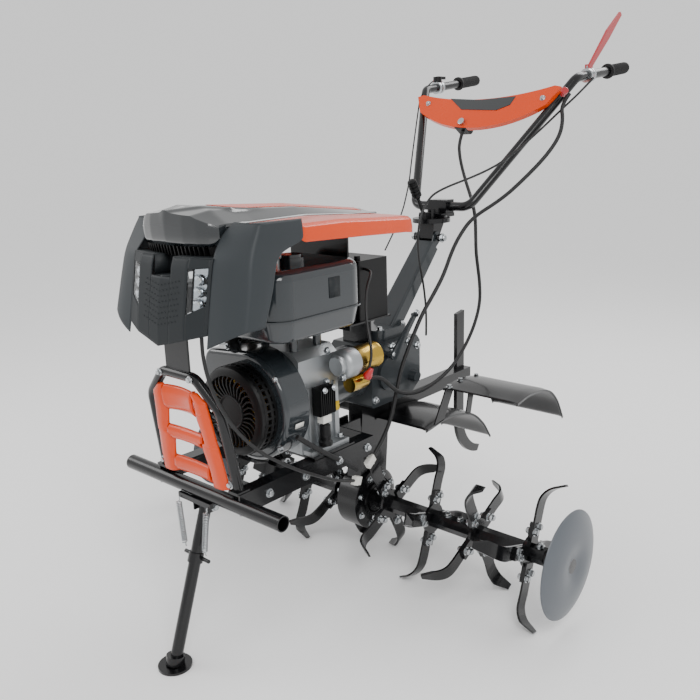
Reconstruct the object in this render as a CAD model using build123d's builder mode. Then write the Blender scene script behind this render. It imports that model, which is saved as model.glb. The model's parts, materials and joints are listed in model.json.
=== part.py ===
"""Walk-behind power tiller with a tined rotor, in millimetres.

X points to the machine's left, Y to its rear and Z up. The origin is on the ground, on the
centreline, half way along the machine. The rotor's axle is the datum that the rest is placed from.
"""
import os
from math import atan2, cos, degrees, hypot, pi, radians, sin, tan

from build123d import *

os.makedirs("parts", exist_ok=True)

# Datum
AXLE_Y = -147.0

# Rotor blades, seen with the blade pointing up
BLADE_T = 6.0
BLADE_W = 40.0
BLADE_FOOT_R = 30.0
BLADE_END_R = 204.0
BEND_R = 55.0
BEND_ANGLE = 65.0
BLADE_REACH = 59.0
SWEEP_START_R = 118.0
TIP_LEAD_T = 8.0
TIP_EDGE_W = 10.0
TIP_TRAIL_T = 34.0
TIP_TRAIL_DROP = 20.0
BLADES_PER_FLANGE = 4
PARK_ANGLE = 22.5

# Rotor
FLANGE_T = 8.0
FLANGE_R = 46.0
FLANGE_ARM_R = 84.0
FLANGE_XS = (101.0, 264.0, 422.0, 588.0)
HEX_TUBE_AF = 44.0
HEX_SHAFT_AF = 32.0
HEX_FIT = 0.2
GROUP_START_X = 50.0
GROUP_SPLIT_X = 342.0
GROUP_END_X = 640.0
DISC_X = 704.0
DISC_R = 150.0
DISC_T = 3.0
DISC_DISH = 22.0
AXLE_R = 22.0
RUNNING_FIT = 0.08
SEAT = 0.3
MOVE_GAP = 6.0

# Final drive leg
LEG_HALF = 28.0
HUB_R = 98.0
HUB_HALF = 34.0
HUB_CAP_R = 44.0
LEG_TOP_DZ = 327.0

# Frame
RAIL_TOP_DZ = 289.0
RAIL_DEPTH = 54.0
RAIL_FLANGE = 40.0
RAIL_T = 5.0
RAIL_OUT_X = 164.0
RAIL_REAR_DY = -150.0
PLATE_T = 6.0
FRONT_TUBE_DY = -647.0
FRONT_TUBE_DROP = 33.0
FRONT_TUBE_R = 20.0
FRONT_TUBE_WALL = 3.0
FRONT_TUBE_HALF = 304.0

# Front bumper
HOOP_R = 13.0
HOOP_FOOT_X = 145.0
HOOP_LEAN = 0.148
HOOP_TOP_DZ = 587.0
GRILLE_T = 14.0

# Stand
STAND_LEG_R = 16.0
STAND_FOOT_R = 44.0
STAND_FOOT_T = 7.0
STAND_PIVOT_DROP = 43.0
STAND_PIVOT_AFT = 14.0
STAND_FOOT_FORE = 140.0
STAND_EAR_X = 21.0
STAND_EAR_T = 5.0
STAND_BOLT_R = 6.0

# Engine
CRANK_DZ = 433.0
CASE_FRONT_DY = -390.0
CASE_REAR_DY = -240.0
CASE_HALF_X = 115.0
CASE_TOP_DZ = 575.0
SHROUD_R = 150.0
SHROUD_DEPTH = 86.0
RECOIL_R = 122.0
RECOIL_DEPTH = 57.0
TANK_BOTTOM_DZ = 634.0
TANK_TOP_DZ = 812.0
TANK_X = (-70.0, 198.0)
TANK_DY = (-530.0, -205.0)
STARTER_DZ = 525.0
STARTER_R = 38.0

# Transmission
CLUTCH_R = 98.0
BOX_FRONT_DY = -60.0
BOX_REAR_DY = 180.0
BOX_TOP_DZ = 513.0
BOX_HALF_X = 86.0

# Column and handlebar
HEAD_DY = 351.0
HEAD_DZ = 793.5
COLUMN_LEAN = 43.5
COLUMN_DEPTH = 50.0
COLUMN_HALF_TOP = 33.0
COLUMN_HALF_FOOT = 40.0
COLUMN_WALL = 4.0
BAR_R = 15.0
GRIP_R = 20.0
GRIP_LENGTH = 138.0
PANEL_T = 17.0


def box_at(x_range, y_range, z_range):
    """Place a block between given lows and highs and return its centre and sides."""
    spans = (x_range, y_range, z_range)
    return [(low + high) / 2 for low, high in spans], [high - low for low, high in spans]


def block(x_range, y_range, z_range, mode=Mode.ADD):
    """Add or cut a block between given lows and highs."""
    centre, sides = box_at(x_range, y_range, z_range)
    with Locations(tuple(centre)):
        Box(*sides, mode=mode)


def rod(start, end, radius, mode=Mode.ADD):
    """Add or cut a straight round bar between two points."""
    axis = Vector(*end) - Vector(*start)
    with BuildSketch(Plane(origin=start, z_dir=axis)) as section:
        Circle(radius)
    extrude(section.sketch, amount=axis.length, mode=mode)


def bent_bar(points, radii, radius, wall=0.0):
    """Return a round bar or tube bent along straight runs joined by arcs."""
    with BuildPart() as bar:
        with BuildLine() as path:
            FilletPolyline(*points, radius=radii)
        with BuildSketch(Plane(origin=path.line @ 0, z_dir=path.line % 0)):
            Circle(radius)
            if wall:
                Circle(radius - wall, mode=Mode.SUBTRACT)
        sweep()
    return bar


def cord(points, diameter, name):
    """Return a cord's tube whose bends are as large as its runs allow."""
    runs = [Vector(*b) - Vector(*a) for a, b in zip(points, points[1:])]
    radii = []
    for before, after in zip(runs, runs[1:]):
        half_turn = radians(before.get_angle(after)) / 2
        radii.append(0.45 * min(before.length, after.length) / tan(half_turn))
    tube = bent_bar(points, radii, diameter / 2)
    with BuildLine() as path:
        FilletPolyline(*points, radius=radii)
    ideal = pi * diameter**2 / 4 * path.line.length
    print(name, "length", round(path.line.length), "tightest bend", round(min(radii), 1),
          "volume ratio", round(tube.part.volume / ideal, 4))
    return tube


def inset(points, wall):
    """Offset an open outline to its right-hand side by a wall's thickness, with mitred corners."""
    normals = []
    for (x0, y0), (x1, y1) in zip(points, points[1:]):
        run = hypot(x1 - x0, y1 - y0)
        normals.append(((y1 - y0) / run, (x0 - x1) / run))
    inner = []
    for index, (x, y) in enumerate(points):
        nx0, ny0 = normals[max(index - 1, 0)]
        nx1, ny1 = normals[min(index, len(normals) - 1)]
        scale = wall / (1 + nx0 * nx1 + ny0 * ny1)
        inner.append((x + (nx0 + nx1) * scale, y + (ny0 + ny1) * scale))
    return inner


def skin_loft(planes, outlines, wall):
    """Loft a thin panel through open outlines, walled on their right-hand side."""
    with BuildPart() as panel:
        for plane, outline in zip(planes, outlines):
            with BuildSketch(plane):
                with BuildLine():
                    Polyline(*outline, *reversed(inset(outline, wall)), close=True)
                make_face()
        loft(ruled=True)
    return panel


def save(piece, name):
    """Name a finished piece and write it."""
    piece.part.label = name
    export_step(piece.part, f"parts/{name}.step")


# One rotor blade, pointing up with its bend towards +X
BEND_START_R = (BLADE_END_R - BLADE_T / 2 * sin(radians(BEND_ANGLE))
                - BEND_R * sin(radians(BEND_ANGLE)))
TAIL = ((BLADE_REACH - BEND_R * (1 - cos(radians(BEND_ANGLE)))
         - BLADE_T / 2 * cos(radians(BEND_ANGLE))) / sin(radians(BEND_ANGLE)))
BEND_START_R -= TAIL * cos(radians(BEND_ANGLE))

with BuildPart() as blade:
    with BuildSketch(Plane.XZ):
        with BuildLine():
            bend_centre = (BEND_R, BEND_START_R)
            run = Vector(sin(radians(BEND_ANGLE)), cos(radians(BEND_ANGLE))) * TAIL
            outer = CenterArc(bend_centre, BEND_R + BLADE_T / 2, 180 - BEND_ANGLE, BEND_ANGLE)
            inner = CenterArc(bend_centre, BEND_R - BLADE_T / 2, 180 - BEND_ANGLE, BEND_ANGLE)
            Polyline(outer @ 1, (-BLADE_T / 2, BLADE_FOOT_R), (BLADE_T / 2, BLADE_FOOT_R), inner @ 1)
            Polyline(outer @ 0, outer @ 0 + run, inner @ 0 + run, inner @ 0)
        make_face()
    extrude(amount=BLADE_W * 2, both=True)
    with BuildSketch(Plane.YZ.offset(-BLADE_T)):
        with BuildLine():
            half = BLADE_W / 2
            lead = ThreePointArc((-half, SWEEP_START_R), (-half * 0.55, 0.55 * BLADE_END_R + 52),
                                 (TIP_LEAD_T, BLADE_END_R + 2))
            tip = Line(lead @ 1, (TIP_LEAD_T + TIP_EDGE_W, BLADE_END_R + 2))
            cut = Line(tip @ 1, (TIP_TRAIL_T, BLADE_END_R - TIP_TRAIL_DROP))
            trail = ThreePointArc(cut @ 1, (half + 5, BLADE_END_R - 52), (half, SWEEP_START_R - 12))
            Polyline(trail @ 1, (half, BLADE_FOOT_R), (-half, BLADE_FOOT_R), lead @ 0)
        make_face()
    extrude(amount=BLADE_REACH * 2, mode=Mode.INTERSECT)

blade_left = blade.part
blade_right = mirror(blade.part, about=Plane.YZ)
TIP_LAG = degrees(atan2(TIP_LEAD_T + TIP_EDGE_W / 2, BLADE_END_R))


def blade_turn(tip_angle):
    """Turn of a blade whose tip stands at an angle from +Y towards +Z."""
    return tip_angle + TIP_LAG - 90


parked_tips = (270 - PARK_ANGLE, 270 + PARK_ANGLE)
parked = [blade_left.moved(Location((0, 0, 0), (blade_turn(tip), 0, 0))) for tip in parked_tips]
AXLE_Z = -min(piece.bounding_box().min.Z for piece in parked)
AXLE = (0, AXLE_Y, AXLE_Z)


def tine_group(start_x, end_x, flanges):
    """Return a hexagonal tube with its flanges and their bent blades, on the left side."""
    with BuildPart() as group:
        with BuildSketch(Plane.YZ.offset(start_x)):
            with Locations((AXLE_Y, AXLE_Z)):
                RegularPolygon(HEX_TUBE_AF / 2, 6, major_radius=False)
                RegularPolygon(HEX_SHAFT_AF / 2 + HEX_FIT, 6, major_radius=False, mode=Mode.SUBTRACT)
        extrude(amount=end_x - start_x)
        for flange_x, phase, out_first in flanges:
            turn = blade_turn(phase)
            with BuildSketch(Plane.YZ.offset(flange_x - FLANGE_T / 2)):
                with Locations((AXLE_Y, AXLE_Z)):
                    Circle(FLANGE_R)
                    with PolarLocations(FLANGE_ARM_R / 2, BLADES_PER_FLANGE, start_angle=turn):
                        Rectangle(FLANGE_ARM_R, BLADE_W - 2)
                    RegularPolygon(HEX_TUBE_AF / 2 - 1, 6, major_radius=False, mode=Mode.SUBTRACT)
            extrude(amount=FLANGE_T)
            for index in range(BLADES_PER_FLANGE):
                outward = (index % 2 == 0) == out_first
                side = 1 if outward else -1
                shank_x = flange_x + side * (FLANGE_T + BLADE_T) / 2
                place = Location((shank_x, AXLE_Y, AXLE_Z), (turn + index * 90, 0, 0))
                add((blade_left if outward else blade_right).moved(place))
    return group


# Tine groups, inner and outer on each side
INNER_FLANGES = ((FLANGE_XS[0], PARK_ANGLE, True), (FLANGE_XS[1], 90 - PARK_ANGLE, False))
OUTER_FLANGES = ((FLANGE_XS[2], PARK_ANGLE, False), (FLANGE_XS[3], 90 - PARK_ANGLE, True))
for place, start_x, end_x, flanges in (
    ("inner", GROUP_START_X, GROUP_SPLIT_X, INNER_FLANGES),
    ("outer", GROUP_SPLIT_X + SEAT, GROUP_END_X, OUTER_FLANGES),
):
    left_group = tine_group(start_x, end_x, flanges)
    save(left_group, f"tine_group_left_{place}")
    with BuildPart() as right_group:
        add(mirror(left_group.part, about=Plane.YZ))
    save(right_group, f"tine_group_right_{place}")

# Rotor shaft
SHAFT_END_X = GROUP_END_X - 12
with BuildPart() as shaft:
    with BuildSketch(Plane.YZ.offset(-SHAFT_END_X)):
        with Locations((AXLE_Y, AXLE_Z)):
            RegularPolygon(HEX_SHAFT_AF / 2, 6, major_radius=False)
    extrude(amount=2 * SHAFT_END_X)
    rod((-GROUP_START_X + SEAT, AXLE_Y, AXLE_Z), (GROUP_START_X - SEAT, AXLE_Y, AXLE_Z), AXLE_R)
save(shaft, "rotor_shaft")

# End discs on their stub tubes
with BuildPart() as discs:
    with BuildSketch(Plane.XZ.offset(-AXLE_Y)):
        with BuildLine():
            base = AXLE_Z
            crown = ThreePointArc((DISC_X, base + DISC_R), (DISC_X + DISC_DISH * 0.75, base + DISC_R / 2),
                                  (DISC_X + DISC_DISH, base + 26))
            back = ThreePointArc((DISC_X + DISC_DISH - DISC_T, base + 26),
                                 (DISC_X + DISC_DISH * 0.75 - DISC_T, base + DISC_R / 2),
                                 (DISC_X - DISC_T, base + DISC_R))
            Line(crown @ 0, back @ 1)
            Polyline(crown @ 1, (DISC_X + DISC_DISH, base), (DISC_X + DISC_DISH - DISC_T, base), back @ 0)
        make_face()
    revolve(axis=Axis((0, AXLE_Y, AXLE_Z), (1, 0, 0)))
    with BuildSketch(Plane.YZ.offset(GROUP_END_X + SEAT)):
        with Locations((AXLE_Y, AXLE_Z)):
            Circle(HEX_TUBE_AF / 2 - 2)
    extrude(amount=DISC_X + DISC_DISH - DISC_T - GROUP_END_X - SEAT)
    rod((DISC_X + DISC_DISH - DISC_T, AXLE_Y, AXLE_Z), (DISC_X + DISC_DISH + 7, AXLE_Y, AXLE_Z), 12)
    mirror(about=Plane.YZ)
save(discs, "end_discs")

# Final drive leg with its round hub
LEG_TOP_Z = AXLE_Z + LEG_TOP_DZ
with BuildPart() as leg:
    with BuildSketch(Plane.YZ.offset(-LEG_HALF)):
        with Locations((AXLE_Y, AXLE_Z)):
            Circle(62)
        with Locations((AXLE_Y + 28, LEG_TOP_Z - 12)):
            Rectangle(132, 24)
        make_hull()
    extrude(amount=2 * LEG_HALF)
    rod((-HUB_HALF, AXLE_Y, AXLE_Z), (HUB_HALF, AXLE_Y, AXLE_Z), HUB_R)
    rod((-GROUP_START_X + MOVE_GAP, AXLE_Y, AXLE_Z), (GROUP_START_X - MOVE_GAP, AXLE_Y, AXLE_Z), HUB_CAP_R)
    for side in (-1, 1):
        with BuildSketch(Plane.YZ.offset(side * HUB_HALF)):
            with Locations((AXLE_Y, AXLE_Z)):
                with PolarLocations(HUB_R - 12, 8, start_angle=22.5):
                    Circle(7)
        extrude(amount=side * 5)
    rod((-60, AXLE_Y, AXLE_Z), (60, AXLE_Y, AXLE_Z), AXLE_R + RUNNING_FIT, mode=Mode.SUBTRACT)
save(leg, "drive_leg")

# Front cross tube
RAIL_TOP_Z = AXLE_Z + RAIL_TOP_DZ
RAIL_BOTTOM_Z = RAIL_TOP_Z - RAIL_DEPTH
TUBE_Y = AXLE_Y + FRONT_TUBE_DY
TUBE_Z = RAIL_TOP_Z - FRONT_TUBE_DROP
with BuildPart() as front_tube:
    rod((-FRONT_TUBE_HALF, TUBE_Y, TUBE_Z), (FRONT_TUBE_HALF, TUBE_Y, TUBE_Z), FRONT_TUBE_R)
    rod((-FRONT_TUBE_HALF, TUBE_Y, TUBE_Z), (FRONT_TUBE_HALF, TUBE_Y, TUBE_Z),
        FRONT_TUBE_R - FRONT_TUBE_WALL, mode=Mode.SUBTRACT)
save(front_tube, "front_tube")

# Frame of two folded rails, cross members and the engine's plate
RAIL_REAR_Y = AXLE_Y + RAIL_REAR_DY
CASE_FRONT_Y = AXLE_Y + CASE_FRONT_DY
CASE_REAR_Y = AXLE_Y + CASE_REAR_DY
with BuildPart() as frame:
    for side in (-1, 1):
        web = sorted((side * RAIL_OUT_X, side * (RAIL_OUT_X - RAIL_T)))
        top = sorted((side * RAIL_OUT_X, side * (RAIL_OUT_X - RAIL_FLANGE)))
        block(web, (TUBE_Y - 8, RAIL_REAR_Y), (RAIL_BOTTOM_Z, RAIL_TOP_Z))
        block(top, (TUBE_Y - 8, RAIL_REAR_Y), (RAIL_TOP_Z - RAIL_T, RAIL_TOP_Z))
    inside = RAIL_OUT_X - RAIL_T / 2
    block((-inside, inside), (TUBE_Y + 96, TUBE_Y + 130), (RAIL_BOTTOM_Z, RAIL_BOTTOM_Z + RAIL_T))
    block((-inside, inside), (RAIL_REAR_Y - 40, RAIL_REAR_Y), (RAIL_BOTTOM_Z, RAIL_BOTTOM_Z + RAIL_T))
    block((-inside, inside), (RAIL_REAR_Y - RAIL_T, RAIL_REAR_Y), (RAIL_BOTTOM_Z, RAIL_TOP_Z))
    block((-inside, inside), (CASE_FRONT_Y, CASE_REAR_Y + 10), (RAIL_TOP_Z, RAIL_TOP_Z + PLATE_T))
    rod((-FRONT_TUBE_HALF, TUBE_Y, TUBE_Z), (FRONT_TUBE_HALF, TUBE_Y, TUBE_Z),
        FRONT_TUBE_R + SEAT, mode=Mode.SUBTRACT)
save(frame, "frame_rails")

# Bracket that ties the frame's rear end to the drive leg
with BuildPart() as tie:
    block((-LEG_HALF, LEG_HALF), (RAIL_REAR_Y, AXLE_Y - 50), (RAIL_BOTTOM_Z, RAIL_TOP_Z - 6))
    block((-LEG_HALF + 6, LEG_HALF - 6), (RAIL_REAR_Y + 6, AXLE_Y), (RAIL_BOTTOM_Z, RAIL_TOP_Z),
          mode=Mode.SUBTRACT)
    add(leg.part, mode=Mode.SUBTRACT)
save(tie, "leg_tie_bracket")

# Hoop of the front bumper, leaning forward as it rises
HOOP_FOOT_Z = RAIL_TOP_Z
HOOP_Y = TUBE_Y + 7
hoop_dir = Vector(0, -HOOP_LEAN, 1).normalized()
hoop_plane = Plane(origin=(0, HOOP_Y, HOOP_FOOT_Z), x_dir=(1, 0, 0), z_dir=(0, -1, -HOOP_LEAN))
HOOP_H = (AXLE_Z + HOOP_TOP_DZ - HOOP_R - HOOP_FOOT_Z) / hoop_dir.Z


def on_hoop(x, height, ahead=0.0):
    """Point on the bumper's leaning plane."""
    point = Vector(x, HOOP_Y, HOOP_FOOT_Z) + hoop_dir * height + hoop_plane.z_dir * ahead
    return tuple(point)


hoop_points = [(-HOOP_FOOT_X, 4), (-HOOP_FOOT_X + 10, HOOP_H - 74), (-HOOP_FOOT_X + 82, HOOP_H)]
hoop_points += [(-x, h) for x, h in reversed(hoop_points)]
hoop = bent_bar([on_hoop(*point) for point in hoop_points], 42, HOOP_R, 2.5)
with BuildPart() as hoop_piece:
    add(hoop.part)
    for side in (-1, 1):
        centre = on_hoop(side * HOOP_FOOT_X, 0)
        block((centre[0] - 17, centre[0] + 17), (centre[1] - 20, centre[1] + 20),
              (RAIL_TOP_Z, RAIL_TOP_Z + 6))
save(hoop_piece, "bumper_hoop")

# Moulded bumper grille with its two windows
GRILLE_H = HOOP_H - 22
with BuildPart() as grille:
    with BuildSketch(Plane(origin=on_hoop(0, 0, HOOP_R + SEAT), x_dir=(1, 0, 0), z_dir=hoop_plane.z_dir)):
        with BuildLine():
            Polyline((-118, 14), (-104, GRILLE_H - 44), (-70, GRILLE_H), (70, GRILLE_H),
                     (104, GRILLE_H - 44), (118, 14), (96, -4), (-96, -4), close=True)
        make_face()
        for low, high in ((60, 104), (152, 196)):
            with BuildLine():
                Polyline((-56, high), (56, high), (50, low), (-50, low), close=True)
            make_face(mode=Mode.SUBTRACT)
        with Locations((-34, HOOP_H - 10), (34, HOOP_H - 10)):
            Rectangle(26, 40)
        with Locations((-126, 30), (126, 30)):
            Rectangle(40, 24)
    extrude(amount=GRILLE_T)
save(grille, "bumper_grille")

# Stand: bracket under the front tube, leg with foot, and its springs
PIVOT_Y = TUBE_Y + STAND_PIVOT_AFT
PIVOT_Z = TUBE_Z - STAND_PIVOT_DROP
FOOT_Y = PIVOT_Y - STAND_FOOT_FORE
SPRING_TOP = (56.0, TUBE_Y - 20, TUBE_Z - 26)
SPRING_LOW = (41.0, TUBE_Y - 19, TUBE_Z - 160)
with BuildPart() as stand_bracket:
    for side in (-1, 1):
        ear = sorted((side * STAND_EAR_X, side * (STAND_EAR_X + STAND_EAR_T)))
        block(ear, (PIVOT_Y - 22, PIVOT_Y + 18), (PIVOT_Z - 16, TUBE_Z))
    bar_low = SPRING_TOP[2] - 6
    block((-64, 64), (SPRING_TOP[1] - 4, SPRING_TOP[1] + 8), (bar_low + 4, bar_low + 18))
    block((-STAND_EAR_X - STAND_EAR_T, STAND_EAR_X + STAND_EAR_T), (SPRING_TOP[1] + 8, PIVOT_Y),
          (bar_low + 8, bar_low + 14))
    rod((-FRONT_TUBE_HALF, TUBE_Y, TUBE_Z), (FRONT_TUBE_HALF, TUBE_Y, TUBE_Z),
        FRONT_TUBE_R + SEAT, mode=Mode.SUBTRACT)
    rod((-STAND_EAR_X - STAND_EAR_T - 6, PIVOT_Y, PIVOT_Z), (STAND_EAR_X + STAND_EAR_T + 6, PIVOT_Y, PIVOT_Z),
        STAND_BOLT_R)
    rod((-STAND_EAR_X - STAND_EAR_T - 8, PIVOT_Y, PIVOT_Z), (-STAND_EAR_X - STAND_EAR_T, PIVOT_Y, PIVOT_Z), 10)
    rod((STAND_EAR_X + STAND_EAR_T, PIVOT_Y, PIVOT_Z), (STAND_EAR_X + STAND_EAR_T + 8, PIVOT_Y, PIVOT_Z), 10)
save(stand_bracket, "stand_bracket")

leg_axis = (Vector(0, FOOT_Y, STAND_FOOT_T) - Vector(0, PIVOT_Y, PIVOT_Z)).normalized()
with BuildPart() as stand_leg:
    start = Vector(0, PIVOT_Y, PIVOT_Z)
    end = start + leg_axis * ((PIVOT_Z - STAND_FOOT_T / 2) / -leg_axis.Z)
    rod(tuple(start), tuple(end), STAND_LEG_R)
    rod((-STAND_LEG_R - 1, PIVOT_Y, PIVOT_Z), (STAND_LEG_R + 1, PIVOT_Y, PIVOT_Z), STAND_LEG_R)
    with BuildSketch(Plane.XY):
        with Locations((0, FOOT_Y)):
            Circle(STAND_FOOT_R)
    extrude(amount=STAND_FOOT_T)
    rod((0, FOOT_Y, STAND_FOOT_T), (0, FOOT_Y + 4, 30), 24)
    low = start + leg_axis * 128
    rod(tuple(low), tuple(low + leg_axis * 26), STAND_LEG_R + 4)
    rod((-48, low.Y, low.Z - 12), (48, low.Y, low.Z - 12), 5)
    block((-100, 100), (-2000, 2000), (-60, 0), mode=Mode.SUBTRACT)
    rod((-60, PIVOT_Y, PIVOT_Z), (60, PIVOT_Y, PIVOT_Z), STAND_BOLT_R + RUNNING_FIT, mode=Mode.SUBTRACT)
save(stand_leg, "stand_leg")

with BuildPart() as springs:
    for side in (-1, 1):
        top = (side * SPRING_TOP[0], SPRING_TOP[1] - 10.3, SPRING_TOP[2] + 2)
        foot = (side * SPRING_LOW[0], SPRING_LOW[1] - 15, SPRING_LOW[2])
        rod(top, foot, 6)
save(springs, "stand_springs")

# Engine crankcase with the sloping face that carries the cylinder
CASE_FOOT_Z = RAIL_TOP_Z + PLATE_T
CRANK_Z = AXLE_Z + CRANK_DZ
CASE_TOP_Z = AXLE_Z + CASE_TOP_DZ
CYL_TILT = 25.0
with BuildPart() as crankcase:
    with BuildSketch(Plane.XZ.offset(-CASE_FRONT_Y)):
        with BuildLine():
            Polyline((-CASE_HALF_X, CASE_FOOT_Z), (-CASE_HALF_X - 26, CASE_TOP_Z - 172), (-60, CASE_TOP_Z),
                     (CASE_HALF_X - 25, CASE_TOP_Z), (CASE_HALF_X, CASE_TOP_Z - 22),
                     (CASE_HALF_X, CASE_FOOT_Z), close=True)
        make_face()
    extrude(amount=-(CASE_REAR_Y - CASE_FRONT_Y))
    block((-150, 150), (CASE_FRONT_Y + 2, CASE_REAR_Y), (CASE_FOOT_Z, CASE_FOOT_Z + 14))
    for index in range(4):
        rib_y = CASE_FRONT_Y + 24 + index * 34
        block((CASE_HALF_X, CASE_HALF_X + 7), (rib_y, rib_y + 6), (CASE_FOOT_Z + 14, CRANK_Z + 40))
save(crankcase, "crankcase")

cyl_dir = Vector(-cos(radians(CYL_TILT)), 0, sin(radians(CYL_TILT)))
face_mid = Vector((-CASE_HALF_X - 26 - 60) / 2, (CASE_FRONT_Y + CASE_REAR_Y) / 2, CASE_TOP_Z - 86)
face_dir = Vector(-CASE_HALF_X - 26 + 60, 0, -172).normalized()
face_out = Vector(-172, 0, CASE_HALF_X + 26 - 60).normalized()
with BuildPart() as cylinder:
    with BuildSketch(Plane(origin=face_mid, x_dir=(0, 1, 0), z_dir=face_out)):
        Rectangle(104, 110)
    extrude(amount=74)
    for index in range(8):
        with BuildSketch(Plane(origin=face_mid + face_out * (6 + index * 9), x_dir=(0, 1, 0), z_dir=face_out)):
            RectangleRounded(140, 150, 14)
        extrude(amount=3)
    with BuildSketch(Plane(origin=face_mid + face_out * 74, x_dir=(0, 1, 0), z_dir=face_out)):
        RectangleRounded(130, 138, 12)
    extrude(amount=48)
    with BuildSketch(Plane(origin=face_mid + face_out * 122, x_dir=(0, 1, 0), z_dir=face_out)):
        RectangleRounded(104, 112, 16)
    extrude(amount=24, taper=6)
save(cylinder, "cylinder_head")

# Fan shroud and recoil starter
SHROUD_Y = CASE_FRONT_Y - SHROUD_DEPTH
with BuildPart() as shroud:
    with BuildSketch(Plane.XZ.offset(-SHROUD_Y)):
        with Locations((0, CRANK_Z)):
            Circle(SHROUD_R)
        with Locations((-95, CRANK_Z + 55)):
            RectangleRounded(150, 170, 40)
        make_hull()
    extrude(amount=-SHROUD_DEPTH)
    fillet(shroud.faces().sort_by(Axis.Y)[0].edges(), 14)
save(shroud, "fan_shroud")

with BuildPart() as recoil:
    with BuildSketch(Plane.YZ):
        with BuildLine():
            face = SHROUD_Y - RECOIL_DEPTH
            back = SHROUD_Y
            Polyline((back, CRANK_Z), (back, CRANK_Z + RECOIL_R), (back - 12, CRANK_Z + RECOIL_R),
                     (face + 12, CRANK_Z + 110), (face, CRANK_Z + 98), (face, CRANK_Z + 40),
                     (face + 8, CRANK_Z + 34), (face + 8, CRANK_Z), close=True)
        make_face()
    revolve(axis=Axis((0, 0, CRANK_Z), (0, 1, 0)))
    with BuildSketch(Plane.XZ.offset(-face)):
        with Locations((0, CRANK_Z)):
            with PolarLocations(69, 12):
                SlotOverall(44, 12)
    extrude(amount=-12, mode=Mode.SUBTRACT)
save(recoil, "recoil_starter")

# Fuel tank with its cap
TANK_TOP_Z = AXLE_Z + TANK_TOP_DZ
TANK_BOTTOM_Z = AXLE_Z + TANK_BOTTOM_DZ
TANK_Y = (AXLE_Y + TANK_DY[0], AXLE_Y + TANK_DY[1])
with BuildPart() as tank:
    centre, sides = box_at(TANK_X, TANK_Y, (TANK_BOTTOM_Z, TANK_TOP_Z))
    with BuildSketch(Plane.XY.offset(TANK_BOTTOM_Z)):
        with Locations(tuple(centre[:2])):
            RectangleRounded(sides[0] - 20, sides[1] - 20, 50)
    with BuildSketch(Plane.XY.offset(TANK_BOTTOM_Z + 58)):
        with Locations(tuple(centre[:2])):
            RectangleRounded(sides[0], sides[1], 56)
    loft()
    with BuildSketch(Plane.XY.offset(TANK_BOTTOM_Z + 58)):
        with Locations(tuple(centre[:2])):
            RectangleRounded(sides[0], sides[1], 56)
    extrude(amount=sides[2] - 58)
    fillet(tank.faces().sort_by(Axis.Z)[-1].edges(), 26)
    fillet(tank.faces().sort_by(Axis.Z)[0].edges(), 14)
    with BuildSketch(Plane.XY.offset(TANK_BOTTOM_Z + 55)):
        with Locations(tuple(centre[:2])):
            RectangleRounded(sides[0] + 12, sides[1] + 12, 60)
    extrude(amount=4)
    rod((100, AXLE_Y - 383, TANK_TOP_Z - 2), (100, AXLE_Y - 383, TANK_TOP_Z + 16), 34)
    rod((100, AXLE_Y - 383, TANK_TOP_Z + 16), (100, AXLE_Y - 383, TANK_TOP_Z + 24), 28)
    for mount_x in (-30, 80):
        for mount_y in (CASE_FRONT_Y + 20, CASE_REAR_Y - 40):
            rod((mount_x, mount_y, CASE_TOP_Z), (mount_x, mount_y, TANK_BOTTOM_Z + 1), 12)
save(tank, "fuel_tank")

# Electric starter on the crankcase's left side
STARTER_Z = AXLE_Z + STARTER_DZ
STARTER_X = CASE_HALF_X + STARTER_R + SEAT
with BuildPart() as starter:
    front = AXLE_Y - 262
    rod((STARTER_X, front, STARTER_Z), (STARTER_X, AXLE_Y - 128, STARTER_Z), STARTER_R)
    rod((STARTER_X, AXLE_Y - 128, STARTER_Z), (STARTER_X, AXLE_Y - 120, STARTER_Z), 12)
    rod((STARTER_X, front - 48, STARTER_Z), (STARTER_X, front, STARTER_Z), STARTER_R - 4)
    block((CASE_HALF_X, STARTER_X), (front - 44, front - 8), (STARTER_Z - 40, STARTER_Z + 24))
    rod((STARTER_X + 26, front - 4, STARTER_Z - 52), (STARTER_X + 26, front + 70, STARTER_Z - 52), 21)
    block((STARTER_X + 10, STARTER_X + 34), (front, front + 50), (STARTER_Z - 40, STARTER_Z - 28))
save(starter, "starter_motor")

# Rectifier block with its fins, on a bracket off the crankcase
with BuildPart() as regulator:
    base_x = CASE_HALF_X + 7
    block((base_x, base_x + 28), (CASE_FRONT_Y + 18, CASE_FRONT_Y + 72), (CRANK_Z - 40, CRANK_Z + 30))
    for index in range(6):
        fin_z = CRANK_Z - 38 + index * 12
        block((base_x + 28, base_x + 44), (CASE_FRONT_Y + 18, CASE_FRONT_Y + 72), (fin_z, fin_z + 5))
save(regulator, "regulator")

# Muffler and air cleaner on the right side
with BuildPart() as muffler:
    block((-250, -92), (AXLE_Y - 330, AXLE_Y - 190), (TANK_BOTTOM_Z + 14, TANK_BOTTOM_Z + 124))
    fillet(muffler.edges(), 16)
    rod((-170, AXLE_Y - 300, CASE_TOP_Z - 40), (-170, AXLE_Y - 300, TANK_BOTTOM_Z + 16), 16)
    rod((-150, AXLE_Y - 192, TANK_BOTTOM_Z + 60), (-150, AXLE_Y - 165, TANK_BOTTOM_Z + 60), 13)
    add(cylinder.part, mode=Mode.SUBTRACT)
save(muffler, "muffler")

with BuildPart() as air_cleaner:
    block((-240, -92), (AXLE_Y - 500, AXLE_Y - 350), (TANK_BOTTOM_Z + 6, TANK_BOTTOM_Z + 120))
    fillet(air_cleaner.edges(), 18)
    rod((-150, AXLE_Y - 385, CASE_TOP_Z - 30), (-150, AXLE_Y - 385, TANK_BOTTOM_Z + 8), 22)
    add(shroud.part, mode=Mode.SUBTRACT)
    add(cylinder.part, mode=Mode.SUBTRACT)
save(air_cleaner, "air_cleaner")

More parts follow.
